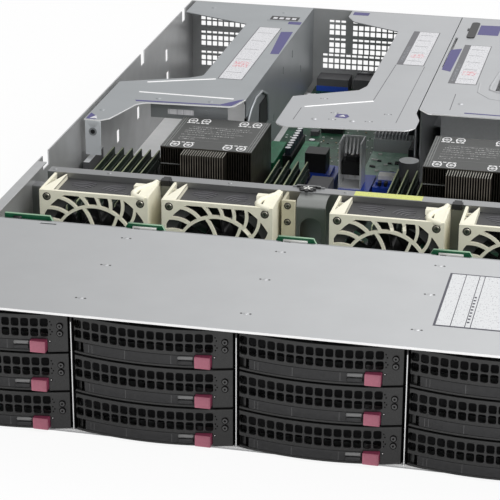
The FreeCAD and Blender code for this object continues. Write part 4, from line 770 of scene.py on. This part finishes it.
for middle in (-110.3, 107.9):
    block(cage, (middle - 4.3, 243.5, 82), (middle + 3.3, 249, 86.4), 0)
    block(cage, (middle - 3.2, 242.4, 84.6), (middle + 2.2, 251.2, 86.8), 0)
for middle in (-199.5, -157, -63.6, 24, 154.6, 199.5):
    disc(cage, (middle, 253, 85), 1.7, 0.5, sides=16, finish=2, top=1.1)
piece("fan_cage_details", cage, [socket_black_and_pit_shade, sticker_green, rail_zinc, white_nylon_and_streak_glint, screw_steel], CHASSIS)

# ------------------------------------------------------------------ processor coolers
# Two passive heat sinks: stacks of thin aluminium fins on a copper-cored base, covered by a dark grey
# plate with round marks at its corners. Four sprung screws hold each of them to its socket.
fin_metal = sheet_metal("fin_aluminium", (0.13, 0.115, 0.095), scale=120, depth=0.4, metallic=0.9)
fin_tops_painted_highlight = solid_finish("fin_tops_painted_highlight", (0.34, 0.325, 0.29), 0.45, metallic=0.3)
cap_grey = solid_finish("cap_grey", (0.066, 0.068, 0.066), 0.5, speckle=0.06, size=300, metallic=0.3)
cap_print = printed("cap_print", (0.066, 0.068, 0.066), (0.42, 0.42, 0.42), 340, 900, 0.5)
mark_white = solid_finish("mark_white", (0.74, 0.74, 0.74), 0.6)
grid_grey = solid_finish("grid_grey", (0.17, 0.175, 0.17), 0.5)


def caps(shape):
    """The plate on top of the fins is dark; everything under it is bare metal. Upward faces in front of the
    plate are paler: a painted highlight on the fin tops.
    """
    for face in shape.faces:
        middle = face.calc_center_median()
        face.material_index = 1 if middle.z > 75.9 else 0
        if face.normal.z > 0.9 and middle.y < 344.5:
            face.material_index = 2


dress("processor_coolers", CHASSIS, [fin_metal, cap_grey, fin_tops_painted_highlight], after=caps)
marks = bmesh.new()
CAP_TOP, STRIP_ACROSS = 77, 34.4
for side in (-1, 1):
    for end in (-1, 1):
        for offset in (0, 11):
            x, y = side * (27 - offset), end * 30
            ring = bmesh.ops.create_circle(marks, cap_ends=True, segments=24, radius=3.9,
                    matrix=Matrix.Translation((x, y, CAP_TOP + 0.06)))
            faces = list(painted(ring, 0))
            bmesh.ops.scale(marks, vec=(1, 1.55, 1), space=Matrix.Translation((-x, -y, 0)),
                    verts=ring["verts"])
            bmesh.ops.inset_region(marks, faces=faces, thickness=1, use_boundary=True)
            bmesh.ops.delete(marks, geom=faces, context="FACES")
            block(marks, (x - 1, y - 2.2, CAP_TOP), (x + 1, y + 2.2, CAP_TOP + 0.08))
            block(marks, (x - 2.9, y - 0.5, CAP_TOP), (x + 2.9, y + 0.5, CAP_TOP + 0.08))
        for number in range(5):
            along = side * (29.5 - number * 3.9)
            block(marks, (along - 1.35, end * 24.2 - 0.75, CAP_TOP),
                    (along + 1.35, end * 24.2 + 0.75, CAP_TOP + 0.07))
    strip = side * STRIP_ACROSS
    block(marks, (strip - 2.2, -36.5, CAP_TOP), (strip + 2.2, 36.5, CAP_TOP + 0.08), 1)
    for number in range(24):
        along = -35.2 + number * 3.06
        for lane in (strip - 1, strip + 1):
            block(marks, (lane - 0.6, along - 1, CAP_TOP + 0.02), (lane + 0.6, along + 1, CAP_TOP + 0.12), 2)
for line, start, end in ((14.5, -24, 24), (10, -26, -6), (10, -2, 27), (5, -27, 17), (0.5, -27, 22),
        (-5, -28, -9), (-5, -4, 16), (-11, -28, 4), (-15.5, -28, -14)):
    block(marks, (start, line - 0.8, CAP_TOP), (end, line + 0.8, CAP_TOP + 0.06), 3)
for line in (17.6, -18.6):
    block(marks, (-27, line - 0.15, CAP_TOP), (27, line + 0.15, CAP_TOP + 0.06), 1)
block(marks, (-36.8, -37.75, 62.4), (-18.2, -37.4, 63.2), 1)
grid_dark = solid_finish("grid_dark", (0.02, 0.02, 0.02), 0.6)
for name, across in (("left", -105), ("right", 105)):
    piece(f"cooler_marks_{name}", marks, [mark_white, grid_grey, grid_dark, cap_print], CHASSIS,
            (across, 382, 0))

# ------------------------------------------------------------------ memory
# Memory modules standing in their sockets on both sides of each processor: dark green boards with rows
# of black chips and bare, pale green upper edges.
module_green = circuit("module_green", (0.003, 0.012, 0.006), (0.006, 0.024, 0.012), 1400, roughness=0.6)
module_edge = solid_finish("module_edge", (0.3, 0.34, 0.2), 0.45, speckle=0.3, size=300)
chip_black = solid_finish("chip_black", (0.016, 0.016, 0.017), 0.42, speckle=0.1, size=800)
dress("memory_modules", CHASSIS, [module_green], width=0.3)
outer = [-203.75, -195.9, -188.05, -180.2, -172.35, -164.5]
MODULES = outer + [-61.5, -53.6, -45.8, -37.95, 37.95, 45.8, 53.6,
        61.5] + [-place for place in reversed(outer)]
chips = bmesh.new()
for module in MODULES:
    for number in range(9):
        along = 297 + number * 14
        block(chips, (module - 1.95, along, 22), (module + 1.95, along + 9.5, 34))
    block(chips, (module - 0.5, 291, 44.6), (module + 0.5, 422.3, 44.95), 1)
    block(chips, (module - 0.5, 289.9, 15), (module + 0.5, 290.2, 44.6), 1)
piece("memory_chips", chips, [chip_black, module_edge], CHASSIS)
latches = bmesh.new()
for module in MODULES:
    for end in (286.6, 424.4):
        block(latches, (module - 2, end - 2.4, 22), (module + 2, end + 2.4, 34))
        block(latches, (module - 1.4, end - 3.4, 33), (module + 1.4, end + 1.4, 37.5))
break_edges(latches, 0.5)
piece("memory_latches", latches, [socket_black_and_pit_shade], CHASSIS)

# ------------------------------------------------------------------ motherboard
# A green board on plated standoffs: processor sockets, memory sockets, royal-blue cable
# sockets in the middle, a grey power plug, a shiny sheet guide, edge cards and the rear ports.
royal_blue = solid_finish("royal_blue", (0.015, 0.055, 0.4), 0.35, speckle=0.15, size=300)
plug_grey = solid_finish("plug_grey", (0.085, 0.085, 0.09), 0.5)
card_green = circuit("card_green", (0.006, 0.12, 0.05), (0.012, 0.19, 0.085), 1200)
card_pale = circuit("card_pale", (0.22, 0.38, 0.29), (0.36, 0.5, 0.42), 1500, 0.4)
bright_steel = sheet_metal("bright_steel", (0.9, 0.91, 0.92), scale=20, depth=0.25, metallic=0.5)
vga_blue = solid_finish("port_blue", (0.02, 0.07, 0.42), 0.4)
soft_grey = solid_finish("soft_grey", (0.58, 0.59, 0.6), 0.5)
BOARD = {(-212, 268): 0, (-212, 362): 11, (-200, 450): 5, (150, 452): 5, (-136, 347): 3, (74, 347): 3,
        (-90, 472): 6, (-65, 472): 6, (-88, 723): 4, (-75, 500): 1, (-60, 600): 1, (-52, 723): 4,
        (-34, 723): 4, (-50, 446): 2, (-33, 385): 4, (-14, 432): 2, (-14, 434): 9, (-14, 723): 4,
        (5, 723): 4, (-5, 560): 8, (-4, 484): 7, (14, 438): 2, (26, 723): 4}


def board_part(low, high):
    """Which finish a solid of the motherboard has."""
    if high.z < 8.5:
        return 3
    if low.x > 34 and high.z > 40:
        return 11
    return BOARD.get((round(low.x), round(low.y)), 1)


def board_rim(shape):
    """The cut edges of the board are paler."""
    for face in shape.faces:
        if face.material_index == 0 and abs(face.normal.z) < 0.5:
            face.material_index = 10
        if face.material_index == 11 and face.normal.z < 0.5:
            face.material_index = 4


dress("motherboard", CHASSIS, [board_green, socket_black_and_pit_shade, royal_blue, zinc, plug_grey, white_nylon_and_streak_glint,
        card_green, card_pale, soft_grey, bright_steel, board_edge, soft_grey], board_part, after=board_rim)
solids = opened("motherboard")
taken = [extent(island) for island in solids_of(solids)]
taken = [(low, high) for low, high in taken if high.z > 9.7]
taken += [(Vector((side * 105 - 40, 325, 0)), Vector((side * 105 + 40, 425, 80))) for side in (-1, 1)]
taken.append((Vector((38, 280, 0)), Vector((66, 430, 50))))
solids.free()
dice = random.Random(11)
BOARD_TOP = 9.6
bits = bmesh.new()


def free(x, y, half, margin=0.6):
    """True where a small part would stand clear of every other part on the board."""
    if not (-210 < x - half and x + half < 210 and 270 < y - half and y + half < 735):
        return False
    if y + half > 466 and not (-90 < x - half and x + half < 58):
        return False
    return all(x + half + margin < low.x or x - half - margin > high.x or y + half + margin < low.y
            or y - half - margin > high.y for low, high in taken)


def put(x, y, half_x, half_y, height, finish):
    """Adds one small part and keeps its place."""
    block(bits, (x - half_x, y - half_y, BOARD_TOP - 0.05), (x + half_x, y + half_y, BOARD_TOP + height),
            finish)
    taken.append((Vector((x - half_x, y - half_y, 0)), Vector((x + half_x, y + half_y, height))))


for number in range(170):
    x, y = dice.uniform(-208, 208), dice.uniform(272, 733)
    kind = dice.random()
    if kind < 0.22 and free(x, y, 3.2):
        disc(bits, (x, y, BOARD_TOP), 3, 7.5, sides=14, finish=3)
        disc(bits, (x, y, BOARD_TOP + 7.5), 2.7, 0.15, sides=14, finish=2)
        taken.append((Vector((x - 3, y - 3, 0)), Vector((x + 3, y + 3, 8))))
    elif kind < 0.45 and free(x, y, 5):
        put(x, y, 4.5, 4.5, 1.2, 0)
        block(bits, (x - 3.6, y - 3.6, BOARD_TOP + 1.15), (x - 2.6, y - 2.6, BOARD_TOP + 1.25), 2)
    elif kind < 0.62 and free(x, y, 4.4):
        put(x, y, 3.6, 3.8, 4.2, 4)
    elif free(x, y, 3.6):
        put(x, y, 3.4, 1.4, 5.5, 1 if kind > 0.85 else 0)
for number in range(2600):
    x, y = dice.uniform(-209, 209), dice.uniform(271, 734)
    if free(x, y, 1.1, 0.3):
        along = dice.random() < 0.5
        put(x, y, 0.9 if along else 0.45, 0.45 if along else 0.9, 0.6, dice.choice((0, 1, 1, 2, 5, 5)))
tan_part = solid_finish("tan_ceramic", (0.36, 0.27, 0.17), 0.5)
can_dark = solid_finish("capacitor_sleeve", (0.03, 0.032, 0.05), 0.35)
piece("board_parts", bits, [chip_black, white_nylon_and_streak_glint, bright_steel, can_dark, plug_grey, tan_part], CHASSIS)

middle = bmesh.new()
block(middle, (0.5, 441, 9.55), (37, 556, 10.1), 7)
block(middle, (-88.3, 722.8, 9.7), (-57.3, 723.2, 15), 6)
for number in range(260):
    x, y = dice.uniform(1.5, 36), dice.uniform(472.5, 554)
    along = dice.random() < 0.5
    block(middle, (x - (1 if along else 0.5), y - (0.5 if along else 1), 10.05),
            (x + (1 if along else 0.5), y + (0.5 if along else 1), 10.7), dice.choice((0, 0, 1, 3, 8)))
# Alternating white and steel strips on the sheet guide are painted reflection streaks.
for number in range(6):
    strip = -12.2 + number * 2.9
    block(middle, (strip, 452.6, 22.5), (strip + 0.9, 452.9, 44), 1 if number % 2 else 3)
for low, high, finish in (((-12.4, 440, 30), (3.4, 454, 41.5), 0), ((-9.5, 442, 41.5), (0.5, 452, 45.5), 0),
        ((-5.6, 446, 41.5), (-3.4, 448, 47), 1), ((-49, 448, 21.6), (-24, 474, 25), 2),
        ((-46, 452, 25), (-28, 470, 42), 0), ((15.5, 446, 21.6), (32.5, 470, 23.5), 2),
        ((16.5, 452, 23.5), (31, 462, 27), 1)):
    block(middle, low, high, finish)
for number in range(4):
    leaning = block(middle, (-10.6 + number * 3.2, 444.5, 47), (-9.4 + number * 3.2, 445.7, 60), 3)
    bmesh.ops.rotate(middle, cent=(0, 445, 47), matrix=Matrix.Rotation(math.radians(-28), 3, "X"),
            verts=corners_of(leaning))
for number in range(2):
    for along in range(2):
        disc(middle, (19.5 + number * 5.2, 442 + along * 3, 21.6), 1.4, 3.4, sides=12, finish=0)
for number in range(9):
    disc(middle, (-71, 504 + number * 6.6, 20.6), 2.7, 6.5, sides=14, finish=4)
    disc(middle, (-71, 504 + number * 6.6, 27.1), 2.4, 0.15, sides=14, finish=3)
disc(middle, (-50, 610, 14.6), 9.6, 1.4, sides=32, finish=3)
for number in range(12):
    block(middle, (-4.4 + number * 3.1, 560.6, 21.6), (-3.4 + number * 3.1, 597.4, 26.5), 5)
for number in range(14):
    x, y = -2 + dice.uniform(0, 28), 487 + dice.uniform(0, 60)
    block(middle, (x, y, 12.6), (x + 3.4, y + 2.4, 13.7), 0 if number % 3 else 1)
for port, width in ((-44, 11), (-26, 11), (34, 11)):
    block(middle, (port - width / 2, 744.3, 12), (port + width / 2, 744.7, 20.5), 0)
for port in (-6.5, 12.5):
    for level in (12, 18.5):
        block(middle, (port - 6, 744.3, level), (port + 6, 744.7, level + 4.6), 0)
block(middle, (-81, 744.3, 12), (-64, 745.4, 19), 6)
for side in (-85.5, -59.5):
    disc(middle, (side, 747.5, 15.8), 2.2, 3, axis="Y", sides=6, finish=3)
piece("board_plugs", middle, [socket_black_and_pit_shade, white_nylon_and_streak_glint, royal_blue, bright_steel, can_dark, soft_grey,
        vga_blue, card_pale, card_green], CHASSIS)

# ------------------------------------------------------------------ riser cages
# Bent zinc-coated steel carriers for the expansion cards, closed by large plates on top. Each holds an
# upright circuit board with black card slots. Purple marks show where they are lifted.
# Near-white finish for the plates' front rims and some pressed ridges: a painted highlight.
riser_painted_highlight = sheet_metal("riser_painted_highlight", (0.95, 0.95, 0.95), scale=22, depth=0.05, metallic=0.2)
cage_zinc = sheet_metal("riser_zinc", (0.355, 0.375, 0.39), scale=22, depth=0.05, bump=0.02, metallic=0.6)
pale_zinc = sheet_metal("riser_zinc_pale", (0.5, 0.51, 0.525), scale=22, depth=0.04, bump=0.02, metallic=0.9)
touch_purple = solid_finish("touch_purple", (0.05, 0.042, 0.18), 0.45, speckle=0.2, size=900)
paper = printed("riser_label_print", (0.66, 0.66, 0.68), (0.33, 0.33, 0.36), 520, 900, 0.54)
pink_print = printed("riser_label_pink", (0.66, 0.64, 0.66), (0.62, 0.16, 0.2), 300, 500, 0.5)
band_print = printed("riser_label_band", (0.11, 0.115, 0.13), (0.5, 0.5, 0.5), 800, 500, 0.56)
PLATE_TOP = 86.2


def ridge(shape, path, width=1.3, height=0.3, finish=0):
    """A rounded bead pressed up out of a plate along a path."""
    for start, end in zip(path[:-1], path[1:]):
        start, end = Vector((*start, PLATE_TOP)), Vector((*end, PLATE_TOP))
        along = (end - start).normalized()
        across = Vector((-along.y, along.x, 0)) * width / 2
        start, end = start - along * width * 0.3, end + along * width * 0.3
        low = [shape.verts.new(point) for point in (start - across, start + across, end + across,
                end - across)]
        high = [shape.verts.new(point + Vector((0, 0, height)))
                for point in (start - across * 0.3, start + across * 0.3, end + across * 0.3,
                end - across * 0.3)]
        for corners in ((high[0], high[3], high[2], high[1]), (low[0], low[3], high[3], high[0]),
                (low[1], high[1], high[2], low[2]), (low[0], high[0], high[1], low[1]),
                (low[3], low[2], high[2], high[3])):
            shape.faces.new(corners).material_index = finish


def riser_label(shape, left, right, near, far, band=True):
    """A framed paper label with a dark band at its left, columns of print and a pink patch."""
    block(shape, (left, near, PLATE_TOP), (right, far, PLATE_TOP + 0.08), 3)
    inner = left + (right - left) * (0.24 if band else 0.04)
    block(shape, (inner, near + 1, PLATE_TOP + 0.02), (right - 0.8, far - 1, PLATE_TOP + 0.13), 2)
    if band:
        block(shape, (left + 1.6, near + 8, PLATE_TOP + 0.02), (inner - 1.2, near + 58, PLATE_TOP + 0.13), 6)
    length = far - near
    block(shape, (inner + 3, near + length * 0.22, PLATE_TOP + 0.05),
            (right - 4, near + length * 0.32, PLATE_TOP + 0.18), 4)
    for share in (0.12, 0.36, 0.55, 0.72, 0.88):
        block(shape, (inner + 2, near + length * share, PLATE_TOP + 0.05),
                (inner + (right - inner) * 0.75, near + length * share + 0.6, PLATE_TOP + 0.17), 3)


# Dark grey for label frames and print, also used as painted shade along engraved lines.
print_and_groove_shade = solid_finish("print_and_groove_shade", (0.12, 0.12, 0.13), 0.5)
RISER = [cage_zinc, touch_purple, paper, print_and_groove_shade, pink_print, socket_black_and_pit_shade, band_print, riser_painted_highlight]


def riser_part(low, high):
    """Slots are black, the upright board is green, the rest is sheet."""
    if high.y < 372:
        return 4
    if high.y - low.y < 87 and high.x - low.x > 10:
        return 1 if high.z < 75 and low.y > 495 else 0
    return 2 if high.x - low.x < 1.7 and high.x - low.x > 1.3 else 0


foot_steel = sheet_metal("foot_steel", (0.72, 0.75, 0.78), scale=22, depth=0.1, metallic=0.3)


def paint_rim_highlight(shape):
    """The rolled front edge of a cage's top plate gets a near-white finish: a painted highlight."""
    for face in shape.faces:
        middle = face.calc_center_median()
        if face.normal.y < -0.25 and face.normal.z > -0.5 and middle.z > 85.15 and middle.y < 480:
            face.material_index = 3


dress("left_riser_cage", "left_riser", [cage_zinc, socket_black_and_pit_shade, card_green, riser_painted_highlight, foot_steel],
        riser_part, width=0.25, limit=50, after=paint_rim_highlight)
plate = bmesh.new()
# These two ridges are real; their near-white finish is a painted highlight.
ridge(plate, [(-188.5, 477), (-157, 490), (-134.7, 498.6)], width=2, height=0.45, finish=7)
ridge(plate, [(-187.6, 449.2), (-150, 448.6), (-107.1, 448)], width=2.6, height=0.35, finish=7)
for x, y in ((-167.8, 434.7), (-123.4, 436), (-205, 395), (-120, 720), (-190, 722)):
    disc(plate, (x, y, PLATE_TOP), 2.3, 0.5, sides=18, top=1.5)
patch(plate, [(-211.5, 371), (-203, 371), (-205, 379), (-211.5, 386)], PLATE_TOP, 0.08, 1)
patch(plate, [(-184, 424), (-174, 424.6), (-106, 428.8), (-106, 431), (-186, 427)], PLATE_TOP, 0.08, 1)
patch(plate, [(-116, 428.4), (-104, 429), (-97.5, 448), (-101, 446)], PLATE_TOP, 0.1, 1)
patch(plate, [(-209, 372.5), (-202.5, 372.5), (-205.5, 380)], PLATE_TOP, 0.14, 2)
patch(plate, [(-109.6, 655), (-98.8, 657), (-96.8, 584), (-104.5, 583)], PLATE_TOP, 0.08, 1)
patch(plate, [(-109.5, 691), (-97.2, 691), (-97, 682), (-109, 682)], PLATE_TOP, 0.08, 1)
riser_label(plate, -133, -111.5, 501, 667, band=False)
block(plate, (-129, 693, PLATE_TOP), (-102, 707, PLATE_TOP + 0.1), 5)
for number in range(4):
    block(plate, (-126.5 + number * 6, 697, PLATE_TOP + 0.05), (-122.5 + number * 6, 703, PLATE_TOP + 0.16),
            2)
ridge(plate, [(-130, 691.5), (-101, 691.5)], width=2.2, height=0.6)
hook = [(-94.9, 452.1, 65.5), (-94.9, 463.5, 72.4), (-94.9, 482.7, 77), (-94.9, 506.5, 75.8),
        (-94.9, 527, 66.7), (-94.9, 531.5, 56.2), (-94.9, 531.9, 41.3)]
tube(plate, hook, 1.1, sides=8)
block(plate, (-95.6, 500, 41), (-95.3, 531, 66), 5)
block(plate, (-158, 427.8, 75.8), (-136, 428.1, 80.2), 2)
disc(plate, (-125, 428.1, 79), 2.2, 0.4, axis="Y", sides=16)
disc(plate, (-205.3, 369, 76), 3.4, 0.3, axis="Y", sides=18)
disc(plate, (-205.3, 368.8, 76), 1.9, 0.3, axis="Y", sides=14, finish=5)
piece("left_riser_marks", plate, RISER, "left_riser")


def round_corners(shape):
    """Joins the two sheets of the plate and rounds its outer front corners."""
    seam = [face for face in shape.faces if abs(face.calc_center_median().y - 446) < 0.01
            and abs(face.normal.y) > 0.9]
    bmesh.ops.delete(shape, geom=seam, context="FACES")
    bmesh.ops.remove_doubles(shape, verts=shape.verts, dist=0.01)
    bmesh.ops.dissolve_limit(shape, angle_limit=math.radians(0.5), verts=shape.verts, edges=shape.edges)
    corners = [edge for edge in shape.edges if edge.is_manifold and abs(edge.calc_length() - 1) < 0.01
            and edge.verts[0].co.y < 430 and edge.verts[0].co.z > 85 and edge.verts[1].co.z > 85
            and abs(edge.verts[0].co.z - edge.verts[1].co.z) > 0.9
            and edge.calc_face_angle(0) > math.radians(18)]
    bevel(shape, corners, 3.4, 4)
    paint_rim_highlight(shape)


dress("middle_riser_cage", "middle_riser", [pale_zinc, socket_black_and_pit_shade, card_green, riser_painted_highlight], riser_part,
        width=0.25, limit=50, after=round_corners)
plate = bmesh.new()
# The thin dark lines stand for engraved lines: painted shade in the grooves.
ridge(plate, [(-47.3, 407), (-46.8, 438)], width=0.7, height=0.12, finish=3)
# This ridge is real; its near-white finish is a painted highlight.
ridge(plate, [(-44.4, 441.8), (7.8, 468.6)], width=1.8, height=0.45, finish=7)
ridge(plate, [(7.8, 468.6), (10.5, 576)], width=0.7, height=0.12, finish=3)
ridge(plate, [(35.3, 417), (35.9, 576)], width=0.6, height=0.1, finish=3)
for x, y in ((-31, 412), (0, 413.5)):
    disc(plate, (x, y, PLATE_TOP), 2.4, 0.55, sides=18, top=1.5)
for x, y in ((-16.5, 414.3), (-17.6, 430.9), (13.4, 415.5), (25.6, 436.9), (-33, 466.5)):
    disc(plate, (x, y, PLATE_TOP), 1.2, 0.3, sides=14, top=0.8)
    # The two dark dots beside each small dimple are painted shade in its openings.
    for side in (-1, 1):
        disc(plate, (x + side * 2.7, y, PLATE_TOP), 0.6, 0.08, sides=10, finish=5)
patch(plate, [(-15.6, 420), (-6.2, 419.2), (-4, 424), (-6.5, 429), (-15, 429)], PLATE_TOP, 0.08, 1)
patch(plate, [(-13, 423), (-7, 422.6), (-9.5, 427.4)], PLATE_TOP, 0.12, 2)
patch(plate, [(-55, 728), (-40, 728), (-40, 738), (-55, 738)], PLATE_TOP, 0.08, 1)
riser_label(plate, 10.5, 35, 577.5, 685.5)
piece("middle_riser_marks", plate, [pale_zinc] + RISER[1:], "middle_riser")


def without_pull(shape):
    """Leaves out the flat pull strap, which is modelled with its rounded shape below."""
    for island in solids_of(shape):
        low, high = extent(island)
        if low.z > 86.1:
            bmesh.ops.delete(shape, geom=island, context="FACES")
    paint_rim_highlight(shape)


dress("right_riser_cage", "right_riser", [pale_zinc, socket_black_and_pit_shade, card_green, riser_painted_highlight], width=0.25,
        limit=50, after=without_pull)
plate = bmesh.new()
# The thin dark line stands for an engraved line: painted shade in the groove.
ridge(plate, [(73.4, 460), (72.6, 504)], width=0.7, height=0.12, finish=3)
ridge(plate, [(89, 540), (90.3, 513), (101.5, 497.5), (118, 492), (204, 492)], width=1.8, height=0.3)
ridge(plate, [(108, 515), (99.5, 522), (98.8, 533), (102, 574), (178, 574), (178, 515), (108, 515)],
        width=2.4, height=0.5)
for x, y in ((79.9, 478.1), (120, 480), (190, 480), (190, 700), (90, 735)):
    disc(plate, (x, y, PLATE_TOP), 2.3, 0.5, sides=18, top=1.5)
patch(plate, [(86, 453.6), (140, 453), (140, 455), (86, 456)], PLATE_TOP, 0.08, 1)
patch(plate, [(51.6, 571), (59.8, 566.5), (61, 639), (51.6, 633)], PLATE_TOP, 0.08, 1)
patch(plate, [(68.8, 687.5), (88, 688), (88, 721), (68.8, 719.5)], PLATE_TOP, 0.08, 1)
riser_label(plate, 62, 86.5, 533, 652)
pull = [block(plate, (60, 674.5, PLATE_TOP), (67.5, 726.5, PLATE_TOP + 0.75), 5)]
pull.append(block(plate, (58.2, 699, PLATE_TOP), (62, 705, PLATE_TOP + 0.6), 5))
upright = [edge for edge in {edge for face in pull[0] for edge in face.edges}
        if abs(edge.verts[0].co.z - edge.verts[1].co.z) > 0.5]
bevel(plate, upright, 3.4, 4, clamp=False)
piece("right_riser_marks", plate, [pale_zinc] + RISER[1:], "right_riser")
riser_panel = solid_finish("riser_panel", (0.8, 0.81, 0.83), 0.5)
uprights = bmesh.new()
block(uprights, (61, 504.9, 46), (206, 505.1, 84.6), 0)
for number in range(26):
    block(uprights, (63.5 + number * 5.5, 504.6, 74), (65 + number * 5.5, 505.1, 82), 1)
block(uprights, (61, 504.5, 82.6), (206, 505.1, 84.2), 1)
piece("right_riser_grid", uprights, [riser_panel, chip_black], "right_riser")

# ------------------------------------------------------------------ power supplies
# Two slide-in supplies stacked side by side in the rear right corner: a zinc-coated box with a looped
# black handle and a wine-red latch beside its mains inlet.
def supply_part(low, high):
    """The handle is black, the latch is red, the rest is sheet."""
    if high.y < 744.5:
        return 0
    return 1 if high.x - low.x < 6 else 2


supply_face = bmesh.new()
# The vent holes are dark discs of painted shade.
for number in range(9):
    for level in range(5):
        disc(supply_face, (9 + number * 4.2, 744.25, 12 + level * 4.2), 1.4, 0.15, axis="Y", sides=6,
                finish=0)
disc(supply_face, (46, 744.4, 36), 1.3, 0.5, axis="Y", sides=12, finish=1)
for number, spot in ((1, 66.6), (2, 141.6)):
    dress(f"power_supply_{number}", f"supply_{number}", [zinc, socket_black_and_pit_shade, tab_red], supply_part,
            width=0.3, segments=2, limit=50)
    piece(f"supply_face_{number}", supply_face, [pit_painted_shade, card_green], f"supply_{number}", (spot, 0, 0))

# ------------------------------------------------------------------ rack ears and power button
# Steel brackets riveted to the chassis sides with a slot at each end. The black panel on the right ear
# holds a row of small lamps and the round sprung power button, whose mark is a plain printed ring.
ear_black = solid_finish("ear_nylon", (0.02, 0.02, 0.021), 0.4, speckle=0.2, size=700, bump=0.15,
        specular=0.35)
dress("rack_ears", CHASSIS, [zinc, ear_black], lambda low, high: 1 if low.y < -5 else 0, width=0.4,
        segments=2, limit=50)
button_metal = sheet_metal("button_metal", (0.35, 0.36, 0.37), scale=200)
dress("power_button", "power_cap", [button_metal], width=0.4, segments=2, limit=50)
EAR_MIDDLE = 221.9
panel = bmesh.new()
for number in range(6):
    disc(panel, (EAR_MIDDLE, -10, 57 - number * 7), 1.2, 0.1, axis="Y", sides=14, finish=0)
    block(panel, (219.4, -10.08, 56.7 - number * 7), (220.2, -9.98, 57.3 - number * 7), 1)
for level in (20, 12):
    for side in (-1, 1):
        block(panel, (side * EAR_MIDDLE - 1.6, -10.08, level), (side * EAR_MIDDLE + 1.6, -9.98,
                level + 0.5), 1)
piece("ear_lamps", panel, [lamp_ring, soft_grey], CHASSIS)
sign = bmesh.new()
ring = bmesh.ops.create_circle(sign, cap_ends=True, segments=24, radius=1.5,
        matrix=Matrix.Translation((EAR_MIDDLE, -10.79, 72)) @ Matrix.Rotation(math.radians(90), 4, "X"))
faces = list(painted(ring, 0))
bmesh.ops.inset_region(sign, faces=faces, thickness=0.35, use_boundary=True)
bmesh.ops.delete(sign, geom=faces, context="FACES")
piece("power_sign", sign, [mark_white], "power_cap")

low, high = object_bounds()
